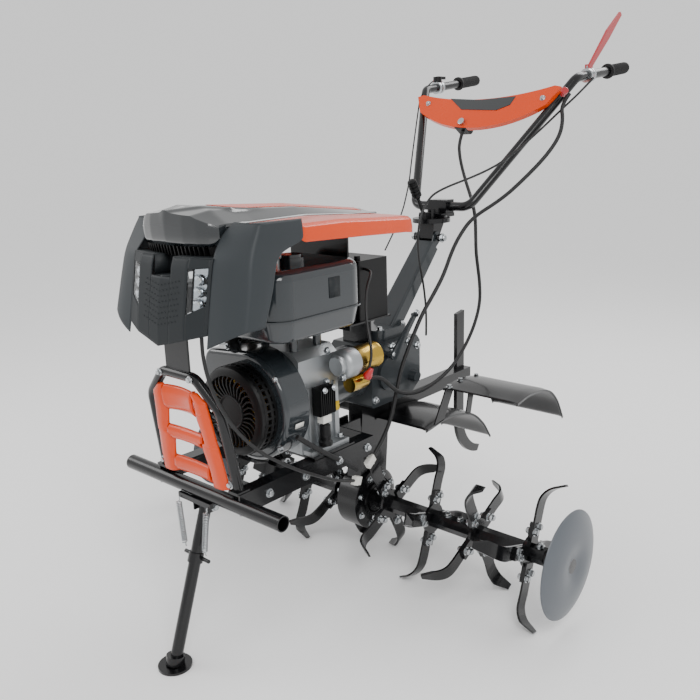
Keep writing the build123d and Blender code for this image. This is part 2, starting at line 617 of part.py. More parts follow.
# Clutch housing between the engine and the gearbox
BOX_FRONT_Y = AXLE_Y + BOX_FRONT_DY
BOX_REAR_Y = AXLE_Y + BOX_REAR_DY
BOX_TOP_Z = AXLE_Z + BOX_TOP_DZ
with BuildPart() as clutch:
    with BuildSketch(Plane.YZ):
        with BuildLine():
            Polyline((CASE_REAR_Y, CRANK_Z), (CASE_REAR_Y, CRANK_Z + CLUTCH_R),
                     (CASE_REAR_Y + 16, CRANK_Z + CLUTCH_R), (CASE_REAR_Y + 24, CRANK_Z + CLUTCH_R - 10),
                     (BOX_FRONT_Y - 24, CRANK_Z + 74), (BOX_FRONT_Y - 14, CRANK_Z + 80),
                     (BOX_FRONT_Y, CRANK_Z + 80), (BOX_FRONT_Y, CRANK_Z), close=True)
        make_face()
    revolve(axis=Axis((0, 0, CRANK_Z), (0, 1, 0)))
save(clutch, "clutch_housing")

# Gearbox
with BuildPart() as gearbox:
    with BuildSketch(Plane.YZ.offset(-BOX_HALF_X)):
        with BuildLine():
            Polyline((BOX_FRONT_Y, LEG_TOP_Z), (BOX_FRONT_Y, BOX_TOP_Z - 24), (BOX_FRONT_Y + 24, BOX_TOP_Z),
                     (BOX_REAR_Y - 16, BOX_TOP_Z), (BOX_REAR_Y, BOX_TOP_Z - 20),
                     (BOX_REAR_Y, LEG_TOP_Z + 36), (BOX_REAR_Y - 50, LEG_TOP_Z), close=True)
        make_face()
    extrude(amount=2 * BOX_HALF_X)
    fillet(gearbox.edges().filter_by(Axis.X), 8)
    for side in (-1, 1):
        with BuildSketch(Plane.YZ.offset(side * BOX_HALF_X)):
            with Locations((AXLE_Y + 118, LEG_TOP_Z + 64)):
                Circle(44)
            with Locations((AXLE_Y + 20, LEG_TOP_Z + 96)):
                Circle(54)
            make_hull()
        extrude(amount=side * 12)
    rod((BOX_HALF_X, AXLE_Y + 118, LEG_TOP_Z + 64), (BOX_HALF_X + 36, AXLE_Y + 118, LEG_TOP_Z + 64), 16)
save(gearbox, "gearbox_case")

# Gear shift arm on the gearbox's left side
with BuildPart() as shift_arm:
    arm_x = BOX_HALF_X + 12
    rod((arm_x, AXLE_Y + 12, LEG_TOP_Z + 156), (arm_x + 14, AXLE_Y + 12, LEG_TOP_Z + 156), 12)
    with BuildSketch(Plane.YZ.offset(arm_x + 14)):
        with Locations((AXLE_Y + 12, LEG_TOP_Z + 156)):
            Circle(15)
        with Locations((AXLE_Y + 116, LEG_TOP_Z + 261)):
            Circle(9)
        make_hull()
    extrude(amount=6)
    rod((arm_x + 6, AXLE_Y + 116, LEG_TOP_Z + 261), (arm_x + 28, AXLE_Y + 116, LEG_TOP_Z + 261), 5)
    rod((BOX_HALF_X - 30, AXLE_Y + 12, LEG_TOP_Z + 156), (arm_x, AXLE_Y + 12, LEG_TOP_Z + 156), 8)
    add(gearbox.part, mode=Mode.SUBTRACT)
save(shift_arm, "shift_arm")

# Steering column, a folded box section that leans back
HEAD = Vector(0, AXLE_Y + HEAD_DY, AXLE_Z + HEAD_DZ)
col_up = Vector(0, sin(radians(COLUMN_LEAN)), cos(radians(COLUMN_LEAN)))
col_front = Vector(0, -col_up.Z, col_up.Y)
FOOT_PLATE_T = 34.0
COL_FOOT_Z = BOX_TOP_Z + FOOT_PLATE_T
COL_LENGTH = (HEAD.Z - COL_FOOT_Z) / col_up.Z + 40
COL_MID = COLUMN_DEPTH / 2 - 16
with BuildPart() as column:
    for back in (COL_LENGTH, 26):
        half = COLUMN_HALF_FOOT if back == COL_LENGTH else COLUMN_HALF_TOP
        origin = HEAD - col_up * back - col_front * COL_MID
        with BuildSketch(Plane(origin=origin, x_dir=(1, 0, 0), z_dir=col_up)):
            RectangleRounded(2 * half, COLUMN_DEPTH, 8)
    loft()
    block((-200, 200), (AXLE_Y - 400, AXLE_Y + 600), (COL_FOOT_Z - 300, COL_FOOT_Z - 6), mode=Mode.SUBTRACT)
    with BuildSketch(Plane.XY.offset(BOX_TOP_Z)):
        with Locations((0, AXLE_Y + 88)):
            RectangleRounded(118, 150, 30)
    extrude(amount=FOOT_PLATE_T)
    for side in (-1, 1):
        ear = Plane.YZ.offset(side * (COLUMN_HALF_TOP - COLUMN_WALL / 2) - COLUMN_WALL / 2 * side)
        with BuildSketch(ear):
            with Locations((HEAD.Y, HEAD.Z)):
                Circle(20)
            root = HEAD - col_up * 40 - col_front * COL_MID
            with Locations(Location((root.Y, root.Z), COLUMN_LEAN)):
                Rectangle(COLUMN_DEPTH - 14, 10)
            make_hull()
        extrude(amount=side * COLUMN_WALL)
    rod((-60, HEAD.Y, HEAD.Z), (60, HEAD.Y, HEAD.Z), 8.2, mode=Mode.SUBTRACT)
save(column, "column")

# Pivot head: yoke between the column's ears, with the swivel disc on top
DISC_Z = AXLE_Z + 842
DISC_Y = AXLE_Y + 365
with BuildPart() as head:
    inside = COLUMN_HALF_TOP - 2 * COLUMN_WALL + COLUMN_WALL - 1.5
    with BuildSketch(Plane.YZ.offset(-inside)):
        with Locations((HEAD.Y, HEAD.Z)):
            Circle(16)
        with Locations((DISC_Y + 4, DISC_Z - 3)):
            Rectangle(56, 6)
        make_hull()
    extrude(amount=2 * inside)
    rod((0, DISC_Y, DISC_Z), (0, DISC_Y, DISC_Z + 14), 62)
    rod((-52, HEAD.Y, HEAD.Z), (52, HEAD.Y, HEAD.Z), 8)
    for side in (-1, 1):
        rod((side * 42, HEAD.Y, HEAD.Z), (side * 50, HEAD.Y, HEAD.Z), 13)
save(head, "pivot_head")

# Swivel lock lever with its ribbed knob
with BuildPart() as lock:
    low = Vector(0, AXLE_Y + 330, DISC_Z + 14)
    high = Vector(0, AXLE_Y + 262, AXLE_Z + 975)
    run = (high - low)
    rod(tuple(low + run * 0.08), tuple(low + run * 0.8), 6)
    block((-14, 14), (low.Y - 14, low.Y + 12), (low.Z, low.Z + 20))
    rod(tuple(low + run * 0.62), tuple(high), 13)
    for index in range(4):
        rib = low + run * (0.66 + index * 0.09)
        rod(tuple(rib), tuple(rib + run.normalized() * 5), 16)
save(lock, "lock_lever")

# Handlebar: one bent tube on a clamp over the swivel disc
BAR_LOW_Z = AXLE_Z + 889
BAR_LOW_Y = AXLE_Y + 422
bar_half = [(0, BAR_LOW_Y, BAR_LOW_Z), (108, BAR_LOW_Y, BAR_LOW_Z),
            (302, AXLE_Y + 754, AXLE_Z + 1285), (310, AXLE_Y + 1108, AXLE_Z + 1330)]
bar_points = [(-x, y, z) for x, y, z in reversed(bar_half[1:])] + bar_half[1:]
bar = bent_bar(bar_points, 42, BAR_R, 2.5)
with BuildPart() as handlebar:
    add(bar.part)
save(handlebar, "handlebar_tube")

SWIVEL_GAP = 0.4
with BuildPart() as clamp:
    low_z = DISC_Z + 14 + SWIVEL_GAP
    rod((0, DISC_Y, low_z), (0, DISC_Y, low_z + 8), 52)
    block((-60, 60), (DISC_Y - 60, DISC_Y), (low_z - 1, low_z + 10), mode=Mode.SUBTRACT)
    block((-40, 40), (DISC_Y, BAR_LOW_Y + 18), (low_z, low_z + 12))
    block((-36, 36), (BAR_LOW_Y - 26, BAR_LOW_Y + 20), (low_z + 8, BAR_LOW_Z + 22))
    rod((-60, BAR_LOW_Y, BAR_LOW_Z), (60, BAR_LOW_Y, BAR_LOW_Z), BAR_R + 0.1, mode=Mode.SUBTRACT)
    rod((0, DISC_Y, low_z), (0, DISC_Y, low_z + 26), 13)
save(clamp, "bar_clamp")

# Panel between the handlebar's arms
panel_low = Vector(0, AXLE_Y + 607, AXLE_Z + 1139)
panel_up = Vector(0, 70, 109).normalized()
panel_plane = Plane(origin=panel_low, x_dir=(1, 0, 0), z_dir=Vector(0, -109, 70))
with BuildPart() as panel:
    with BuildSketch(panel_plane):
        with BuildLine():
            low_edge = ThreePointArc((-252, 76), (0, 0), (252, 76))
            right_end = Polyline(low_edge @ 1, (286, 140), (262, 146))
            top_edge = ThreePointArc(right_end @ 1, (0, 112), (-262, 146))
            Polyline(top_edge @ 1, (-286, 140), low_edge @ 0)
        make_face()
    extrude(amount=-PANEL_T)
    add(bent_bar(bar_points, 42, BAR_R + SEAT).part, mode=Mode.SUBTRACT)
save(panel, "handle_panel")

# Key switch box under the panel
with BuildPart() as key_box:
    switch_plane = Plane(origin=panel_low + panel_up * 22 + Vector(-50, 0, 0), x_dir=(1, 0, 0),
                         z_dir=Vector(0, 109, -70))
    with BuildSketch(switch_plane):
        RectangleRounded(54, 44, 8)
    extrude(amount=40)
    add(panel.part, mode=Mode.SUBTRACT)
save(key_box, "key_switch")

# Grips over the handlebar's ends
GRIP_AXIS = (Vector(*bar_half[3]) - Vector(*bar_half[2])).normalized()
GRIP_END = Vector(*bar_half[3])
with BuildPart() as grips:
    for side in (-1, 1):
        mirrored = Vector(side, 1, 1)
        axis = Vector(side * GRIP_AXIS.X, GRIP_AXIS.Y, GRIP_AXIS.Z)
        tip = Vector(side * GRIP_END.X, GRIP_END.Y, GRIP_END.Z)
        start = tip - axis * (GRIP_LENGTH - 4)
        rod(tuple(start), tuple(tip + axis * 4), GRIP_R)
        rod(tuple(start), tuple(start + axis * 8), GRIP_R + 5)
        rod(tuple(start - axis * 5), tuple(tip), BAR_R + 0.1, mode=Mode.SUBTRACT)
save(grips, "grips")

# Clutch lever on the left arm
lever_root = Vector(310, AXLE_Y + 835, AXLE_Z + 1326)
with BuildPart() as clutch_lever:
    perch = Vector(*bar_half[2]) + GRIP_AXIS * 82
    rod(tuple(perch - GRIP_AXIS * 16), tuple(perch + GRIP_AXIS * 16), BAR_R + 6)
    rod(tuple(perch - GRIP_AXIS * 20), tuple(perch + GRIP_AXIS * 20), BAR_R + 0.1, mode=Mode.SUBTRACT)
    block((perch.X - 8, perch.X + 8), (perch.Y - 10, perch.Y + 16), (perch.Z + BAR_R + 2, perch.Z + 34))
    knee = Vector(310, AXLE_Y + 969, AXLE_Z + 1434)
    tip = Vector(310, AXLE_Y + 1070, AXLE_Z + 1502)
    with BuildSketch(Plane.YZ.offset(perch.X - 4)):
        with BuildLine():
            Polyline((perch.Y - 6, perch.Z + 24), (knee.Y - 6, knee.Z + 12), (tip.Y - 10, tip.Z + 10),
                     (tip.Y, tip.Z), (knee.Y + 10, knee.Z - 14), (perch.Y + 12, perch.Z + 20), close=True)
        make_face()
    extrude(amount=8)
save(clutch_lever, "clutch_lever")

# Throttle lever on the right arm
with BuildPart() as throttle:
    axis = Vector(-GRIP_AXIS.X, GRIP_AXIS.Y, GRIP_AXIS.Z)
    perch = Vector(-bar_half[2][0], bar_half[2][1], bar_half[2][2]) + axis * 78
    rod(tuple(perch - axis * 11), tuple(perch + axis * 11), BAR_R + 6)
    rod(tuple(perch - axis * 20), tuple(perch + axis * 20), BAR_R + 0.1, mode=Mode.SUBTRACT)
    rod((perch.X, perch.Y, perch.Z + BAR_R + 3), (perch.X, perch.Y, perch.Z + BAR_R + 24), 16)
    block((perch.X - 6, perch.X + 6), (perch.Y, perch.Y + 46), (perch.Z + BAR_R + 16, perch.Z + BAR_R + 26))
save(throttle, "throttle_lever")

# Battery on its tray
TRAY_Z = AXLE_Z + 600
with BuildPart() as battery:
    block((-75, 75), (AXLE_Y - 92, AXLE_Y + 38), (TRAY_Z, TRAY_Z + 176))
    fillet(battery.edges().filter_by(Axis.Z), 5)
    for side in (-1, 1):
        rod((side * 50, AXLE_Y - 70, TRAY_Z + 176), (side * 50, AXLE_Y - 70, TRAY_Z + 188), 9)
save(battery, "battery")

# Hitch arm with its slot, and the drag bar held in it
ARM_Z = (AXLE_Z + 258, AXLE_Z + 302)
BAR_Y = (AXLE_Y + 509, AXLE_Y + 554)
with BuildPart() as hitch:
    block((-26, 26), (AXLE_Y + 100, BAR_Y[1] + 14), ARM_Z)
    block((-20, 20), (AXLE_Y + 90, BAR_Y[0] - 20), (ARM_Z[0] - 1, ARM_Z[1] - 6), mode=Mode.SUBTRACT)
    block((-8, 8), (BAR_Y[0] - SEAT, BAR_Y[1] + SEAT), (ARM_Z[0] - 1, ARM_Z[1] + 1), mode=Mode.SUBTRACT)
    block((-34, 34), (BOX_REAR_Y, BOX_REAR_Y + 7), (ARM_Z[1] - 6, LEG_TOP_Z + 110))
save(hitch, "hitch_arm")

with BuildPart() as drag:
    with BuildSketch(Plane.YZ.offset(-7)):
        with BuildLine():
            low_z = AXLE_Z + 108
            front_edge = Line((BAR_Y[0], AXLE_Z + 505), (BAR_Y[0], low_z))
            tip = (AXLE_Y + 651, AXLE_Z - 56)
            front_curve = TangentArc(front_edge @ 1, tip, tangent=(0, -1))
            rear_edge = Line((BAR_Y[1], AXLE_Z + 513), (BAR_Y[1], low_z))
            rear_curve = TangentArc(rear_edge @ 1, (tip[0] + 14, tip[1] + 22), tangent=(0, -1))
            Line(front_curve @ 1, rear_curve @ 1)
            Line(front_edge @ 0, rear_edge @ 0)
        make_face()
    extrude(amount=14)
save(drag, "drag_bar")


def fender(side):
    """Return one side's fender: an inner sheet and a raised outer sheet on two straps."""
    inner_path = [(20, 268), (140, 278), (262, 256), (338, 204), (390, 138)]
    outer_path = [(112, 372), (205, 376), (318, 348), (415, 253)]
    low, high = sorted((side * (LEG_HALF + SEAT), side * 226))
    low_out, high_out = sorted((side * 222, side * 475))
    with BuildPart() as sheet:
        for path, start_x, end_x in ((inner_path, low, high), (outer_path, low_out, high_out)):
            outline = [(AXLE_Y + y, AXLE_Z + z) for y, z in path]
            with BuildSketch(Plane.YZ.offset(start_x)):
                with BuildLine():
                    Polyline(*outline, *reversed(inset(outline, 3)), close=True)
                make_face()
            extrude(amount=end_x - start_x)
        for strap in ([(70, 274), (140, 375)], [(240, 262), (262, 360)]):
            outline = [(AXLE_Y + y, AXLE_Z + z) for y, z in strap]
            centre_x = side * 224
            rod((centre_x, *outline[0]), (centre_x, *outline[1]), 6)
        block((low, high) if side > 0 else (low, high), (AXLE_Y + 14, AXLE_Y + 20),
              (AXLE_Z + 236, AXLE_Z + 268))
    return sheet


save(fender(1), "fender_left")
save(fender(-1), "fender_right")

# Hood nose: a moulded shell that is open to the rear and below
HOOD_WALL = 3.0
NOSE_LEVELS = (
    (660, ((0, -733), (88, -727), (150, -712), (158, -600))),
    (715, ((0, -728), (88, -722), (150, -700), (160, -600))),
    (843, ((0, -706), (88, -700), (148, -677), (158, -600))),
    (880, ((0, -690), (88, -686), (146, -666), (156, -600))),
)


def both_sides(half):
    """Mirror a half outline that starts on the centreline into a whole one."""
    return [(-x, y) for x, y in reversed(half[1:])] + list(half)


planes, outlines = [], []
for level, half in NOSE_LEVELS:
    planes.append(Plane.XY.offset(AXLE_Z + level))
    outlines.append([(x, AXLE_Y + y) for x, y in reversed(both_sides(half))])
nose = skin_loft(planes, outlines, HOOD_WALL)
with BuildPart() as nose_piece:
    add(nose.part)
    with BuildSketch(Plane.XZ.offset(-AXLE_Y + 900)):
        with Locations((0, AXLE_Z + 872)):
            RectangleRounded(72, 110, 20)
        for side in (-1, 1):
            with BuildLine():
                Polyline((side * 92, AXLE_Z + 737), (side * 92, AXLE_Z + 838), (side * 144, AXLE_Z + 843),
                         (side * 142, AXLE_Z + 760), close=True)
            make_face()
    extrude(amount=-300, mode=Mode.SUBTRACT)
save(nose_piece, "hood_nose")

# Headlamps in the nose's openings
with BuildPart() as lamps:
    for side in (-1, 1):
        for level, front, outer in ((738, -712, -692), (841, -695, -674)):
            with BuildSketch(Plane.XY.offset(AXLE_Z + level)):
                with BuildLine():
                    points = [(93, front), (142, outer), (142, outer + 26), (93, front + 30)]
                    Polyline(*[(side * x, AXLE_Y + y) for x, y in points], close=True)
                make_face()
        loft(ruled=True)
save(lamps, "headlamps")

# Top plate of the hood, faceted along its length, with the front lip
TOP_T = 4.0
LIP_HALF = 137.0
LIP_LOW = 886
TOP_STATIONS = (
    (-700, 139, 929, 960), (-614, 134, 935, 972), (-510, 112, 932, 966), (-310, 82, 929, 954), (4, 62, 908, 916),
)
LIP_FRONT = ((0, -684), (100, -672), (LIP_HALF, -650), (LIP_HALF + 6, -600), (LIP_HALF + 6, 10))


def top_solid(drop, widen, low):
    """Loft the space under the top plate's facets."""
    with BuildPart() as body:
        for y, half, edge, crown in TOP_STATIONS:
            slope = (crown - 8 - edge) / (0.4 * half)
            outline = both_sides(((0, crown - drop), (0.6 * half, crown - 8 - drop),
                                  (half + widen, edge - drop - widen * slope), (half + widen, low)))
            with BuildSketch(Plane.XZ.offset(-(AXLE_Y + y))):
                with BuildLine():
                    Polyline(*[(x, AXLE_Z + z) for x, z in outline], close=True)
                make_face()
        loft(ruled=True)
    return body


def lip_plan(setback, low, high):
    """Stand the plan outline of the lip up between two levels."""
    with BuildPart() as body:
        with BuildSketch(Plane.XY.offset(AXLE_Z + low)):
            with BuildLine():
                outline = both_sides([(x, y + setback) for x, y in LIP_FRONT])
                Polyline(*[(x, AXLE_Y + y) for x, y in outline], close=True)
            make_face()
        extrude(amount=high - low)
    return body


with BuildPart() as hollow:
    add(top_solid(TOP_T, 8, LIP_LOW - 10).part)
    add(lip_plan(TOP_T, LIP_LOW - 20, 1000).part, mode=Mode.INTERSECT)
with BuildPart() as top_piece:
    add(top_solid(0, 0, LIP_LOW).part)
    add(lip_plan(0, LIP_LOW - 20, 1000).part, mode=Mode.INTERSECT)
    add(hollow.part, mode=Mode.SUBTRACT)
save(top_piece, "hood_top")


def top_edge(y):
    """Height of the top plate's side edge at a place along it."""
    for (y0, _, low, _), (y1, _, high, _) in zip(TOP_STATIONS, TOP_STATIONS[1:]):
        if y0 <= y <= y1:
            return low + (high - low) * (y - y0) / (y1 - y0)
    return TOP_STATIONS[-1][2]


# Wings over the front corners, seated on the nose's flanks and beside the top plate's lip


def nose_corner(level):
    """Corner of the nose's flank at a level, between the lofted levels."""
    for (low, low_half), (high, high_half) in zip(NOSE_LEVELS, NOSE_LEVELS[1:]):
        if low <= level <= high:
            share = (level - low) / (high - low)
            return tuple(a + (b - a) * share for a, b in zip(low_half[2], high_half[2]))


WING_LEVELS = (
    (712, ((252, -676), (252, -653))),
    (793, ((249, -656), (250, -581))),
    (843, ((244, -645), (248, -566))),
    (NOSE_LEVELS[-1][0], ((239, -633), (242, -480))),
)
WING_TOP_LEVELS = (
    (886, ((LIP_HALF + 1.5, -648), (238, -632), (242, -468))),
    (935, ((LIP_HALF + 1.5, -638), (226, -606), (232, -460))),
)
wing_outlines = []
for level, outer in WING_LEVELS:
    corner_x, corner_y = nose_corner(level)
    wing_outlines.append((level, ((corner_x + 1.7, corner_y + 2), *outer)))
wing_outlines += WING_TOP_LEVELS
for side, name in ((1, "hood_wing_left"), (-1, "hood_wing_right")):
    planes, outlines = [], []
    for level, half in wing_outlines:
        planes.append(Plane.XY.offset(AXLE_Z + level))
        outline = [(side * x, AXLE_Y + y) for x, y in half]
        outlines.append(outline if side < 0 else outline[::-1])
    wing = skin_loft(planes, outlines, HOOD_WALL)
    save(wing, name)

# Roof panel that runs back over the tank and battery
ROOF_STATIONS = (
    (-575, 132, 915), (-458, 214, 902), (-452, 231, 888), (-250, 228, 878), (-50, 215, 868), (-20, 212, 850),
)
planes, outlines = [], []
for y, half, low in ROOF_STATIONS:
    planes.append(Plane.XZ.offset(-(AXLE_Y + y)))
    high = top_edge(y) - TOP_T - 2 * SEAT
    outline = both_sides(((0, high), (half - 58, high - 2), (half - 26, high - 7), (half - 3, high - 18),
                          (half, low)))
    outlines.append([(x, AXLE_Z + z) for x, z in outline])
roof = skin_loft(planes, outlines, HOOD_WALL)
save(roof, "hood_roof")

# Space below the roof panel, which the hood plate ends in
with BuildPart() as under_roof:
    for y, half, low in ((-300, 220, 0), (50, 220, 0)):
        high = top_edge(y) - TOP_T - 3 * SEAT - HOOD_WALL - 2.6
        with BuildSketch(Plane.XZ.offset(-(AXLE_Y + y))):
            with BuildLine():
                Polyline((-half, 0), (half, 0), (half, AXLE_Z + high), (-half, AXLE_Z + high), close=True)
            make_face()
    loft(ruled=True)

# Brackets: battery tray on the gearbox with the rear hood plate
with BuildPart() as tray:
    block((-80, 80), (AXLE_Y - 172, AXLE_Y + 42), (TRAY_Z - 5, TRAY_Z))
    block((-55, 55), (AXLE_Y - 26, AXLE_Y - 20), (BOX_TOP_Z, TRAY_Z - 5))
    block((-110, 110), (AXLE_Y - 178, AXLE_Y - 172), (TRAY_Z - 5, AXLE_Z + 930))
    add(under_roof.part, mode=Mode.INTERSECT)
save(tray, "battery_tray")


# Stay that carries the hood's nose on the bumper hoop
STAY_Y = HOOP_Y - HOOP_LEAN * HOOP_H * hoop_dir.Z
STAY_TAB_HALF = 20
with BuildPart() as stay:
    block((-45, 45), (STAY_Y - 3, STAY_Y + 3), (HOOP_FOOT_Z + HOOP_H * hoop_dir.Z + HOOP_R, AXLE_Z + 722))
    nose_front = AXLE_Y + NOSE_LEVELS[1][1][0][1] + HOOD_WALL
    block((-STAY_TAB_HALF, STAY_TAB_HALF), (nose_front + 9 * SEAT, STAY_Y), (AXLE_Z + 715, AXLE_Z + 722))
save(stay, "hood_stay")
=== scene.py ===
"""Looks of the walk-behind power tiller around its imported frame, in metres."""
import json
from math import cos, radians, sin

import bmesh
import bpy
import numpy as np
from mathutils import Matrix, Vector


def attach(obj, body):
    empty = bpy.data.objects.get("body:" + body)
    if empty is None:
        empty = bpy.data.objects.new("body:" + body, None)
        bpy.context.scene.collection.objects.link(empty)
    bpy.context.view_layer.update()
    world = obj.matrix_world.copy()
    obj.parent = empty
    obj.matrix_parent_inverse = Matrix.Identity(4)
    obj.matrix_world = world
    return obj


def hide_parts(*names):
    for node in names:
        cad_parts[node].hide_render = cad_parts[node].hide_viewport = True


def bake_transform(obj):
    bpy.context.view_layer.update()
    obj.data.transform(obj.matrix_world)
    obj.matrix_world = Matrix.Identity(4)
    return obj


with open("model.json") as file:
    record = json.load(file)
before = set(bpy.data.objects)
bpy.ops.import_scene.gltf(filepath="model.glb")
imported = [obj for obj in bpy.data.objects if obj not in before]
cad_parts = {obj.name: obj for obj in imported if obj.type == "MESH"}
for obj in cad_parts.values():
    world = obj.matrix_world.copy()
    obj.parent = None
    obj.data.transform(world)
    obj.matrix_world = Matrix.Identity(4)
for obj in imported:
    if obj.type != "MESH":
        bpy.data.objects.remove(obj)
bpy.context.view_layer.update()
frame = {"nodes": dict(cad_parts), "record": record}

# Rotor's axle, from which every place below is given in millimetres, as in the part's source
AXLE = np.array((0.0, -147.0, 191.698))

# Camera, fitted to the photograph's view of the machine
CAMERA_AT = Vector((1.5325, -1.9169, 1.2977))
CAMERA_TURN = radians(41.815)
CAMERA_DIP = radians(14.838)
CAMERA_ROLL = radians(-1.795)
CAMERA_LENS = 40.457
SENSOR = 36.0
CAMERA_REACH = 60.0

# Studio: floor's half width, its roughness and the sky's strength
FLOOR_HALF = 14.0
FLOOR_ROUGHNESS = 0.9
SKY_STRENGTH = 1.0
WHITE = (1.0, 1.0, 1.0, 1.0)

# Softboxes: place and aim in metres, width in metres and power in watts
SOFTBOXES = (
    ((2.6, -2.2, 3.2), (0, -0.3, 0.8), 1.6, 70),
    ((-2.8, -2.0, 2.6), (0, -0.3, 0.8), 1.6, 30),
    ((0.4, 2.6, 3.4), (0, 0, 0.8), 1.8, 50),
)


def make_camera():
    """Stand the camera at the photograph's place: ahead, to the left and above the machine."""
    look = Vector((-sin(CAMERA_TURN) * cos(CAMERA_DIP), cos(CAMERA_TURN) * cos(CAMERA_DIP), -sin(CAMERA_DIP)))
    level = Vector((cos(CAMERA_TURN), sin(CAMERA_TURN), 0))
    over = level.cross(look)
    right = level * cos(CAMERA_ROLL) + over * sin(CAMERA_ROLL)
    up = over * cos(CAMERA_ROLL) - level * sin(CAMERA_ROLL)
    camera = bpy.data.objects.new("camera", bpy.data.cameras.new("camera"))
    camera.data.lens = CAMERA_LENS
    camera.data.sensor_width = SENSOR
    camera.data.clip_end = CAMERA_REACH
    axes = Matrix((right, up, -look)).transposed().to_4x4()
    camera.matrix_world = Matrix.Translation(CAMERA_AT) @ axes
    bpy.context.scene.collection.objects.link(camera)
    bpy.context.scene.camera = camera


def make_studio():
    """Lay a pale floor under soft lamps and a pale sky."""
    floor = bpy.data.meshes.new("floor")
    corners = [(x * FLOOR_HALF, y * FLOOR_HALF, 0) for x, y in ((-1, -1), (1, -1), (1, 1), (-1, 1))]
    floor.from_pydata(corners, [], [(0, 1, 2, 3)])
    stage = bpy.data.objects.new("floor", floor)
    bpy.context.scene.collection.objects.link(stage)
    pale = bpy.data.materials.new("pale_studio_floor")
    pale.use_nodes = True
    shader = pale.node_tree.nodes["Principled BSDF"]
    shader.inputs["Base Color"].default_value = WHITE
    shader.inputs["Roughness"].default_value = FLOOR_ROUGHNESS
    floor.materials.append(pale)
    world = bpy.data.worlds.new("studio")
    world.use_nodes = True
    world.node_tree.nodes["Background"].inputs["Color"].default_value = WHITE
    world.node_tree.nodes["Background"].inputs["Strength"].default_value = SKY_STRENGTH
    bpy.context.scene.world = world
    for place, aim, width, power in SOFTBOXES:
        lamp = bpy.data.lights.new("softbox", "AREA")
        lamp.size = width
        lamp.energy = power
        box = bpy.data.objects.new("softbox", lamp)
        box.location = place
        box.rotation_euler = (Vector(aim) - Vector(place)).to_track_quat("-Z", "Y").to_euler()
        bpy.context.scene.collection.objects.link(box)


make_camera()
make_studio()


def linear(code):
    """Turn an sRGB hex colour into linear RGBA."""
    parts = [int(code[i:i + 2], 16) / 255 for i in (1, 3, 5)]
    return (*[c / 12.92 if c <= 0.04045 else ((c + 0.055) / 1.055) ** 2.4 for c in parts], 1.0)


def add_node(tree, kind, settings=(), links=()):
    """Add one shader node with its settings and its input links."""
    made = tree.nodes.new(kind)
    for name, value in dict(settings).items():
        if name in made.inputs.keys():
            made.inputs[name].default_value = value
        else:
            setattr(made, name, value)
    for name, source in dict(links).items():
        tree.links.new(source, made.inputs[name])
    return made


# Grain about 1.1 mm wide, drawn far coarser than paint's or a mould's own grain so that it shows
GRAIN_PER_METRE = 900.0
GRAIN_STRENGTH = 0.08
GRAIN_DEPTH = 0.0005

# Blotches about 170 mm wide, as from uneven spraying and handling, in colour and in gloss
BLOTCHES_PER_METRE = 6.0
GLOSS_LOW, GLOSS_HIGH = 0.8, 1.25
COAT_ROUGHNESS = 0.08


def finish_material(name, code, roughness, metallic=0.0, coat=0.0, dark=None):
    """A painted, moulded or metal surface: fine grain in the bump, slow blotches in colour and gloss."""
    material = bpy.data.materials.new(name)
    material.use_nodes = True
    tree = material.node_tree
    shader = tree.nodes["Principled BSDF"]
    shader.inputs["Metallic"].default_value = metallic
    shader.inputs["Coat Weight"].default_value = coat
    shader.inputs["Coat Roughness"].default_value = COAT_ROUGHNESS
    place = add_node(tree, "ShaderNodeTexCoord").outputs["Object"]
    slow = add_node(tree, "ShaderNodeTexNoise", {"Scale": BLOTCHES_PER_METRE, "Detail": 4.0},
                    {"Vector": place})
    mix = add_node(tree, "ShaderNodeMixRGB", {"Color1": linear(dark or code), "Color2": linear(code)},
                   {"Fac": slow.outputs["Fac"]})
    tree.links.new(mix.outputs["Color"], shader.inputs["Base Color"])
    rough = add_node(tree, "ShaderNodeMapRange",
                     {"To Min": roughness * GLOSS_LOW, "To Max": roughness * GLOSS_HIGH},
                     {"Value": slow.outputs["Fac"]})
    tree.links.new(rough.outputs["Result"], shader.inputs["Roughness"])
    fine = add_node(tree, "ShaderNodeTexNoise", {"Scale": GRAIN_PER_METRE, "Detail": 2.0}, {"Vector": place})
    relief = add_node(tree, "ShaderNodeBump", {"Strength": GRAIN_STRENGTH, "Distance": GRAIN_DEPTH},
                      {"Height": fine.outputs["Fac"]})
    tree.links.new(relief.outputs["Normal"], shader.inputs["Normal"])
    return material


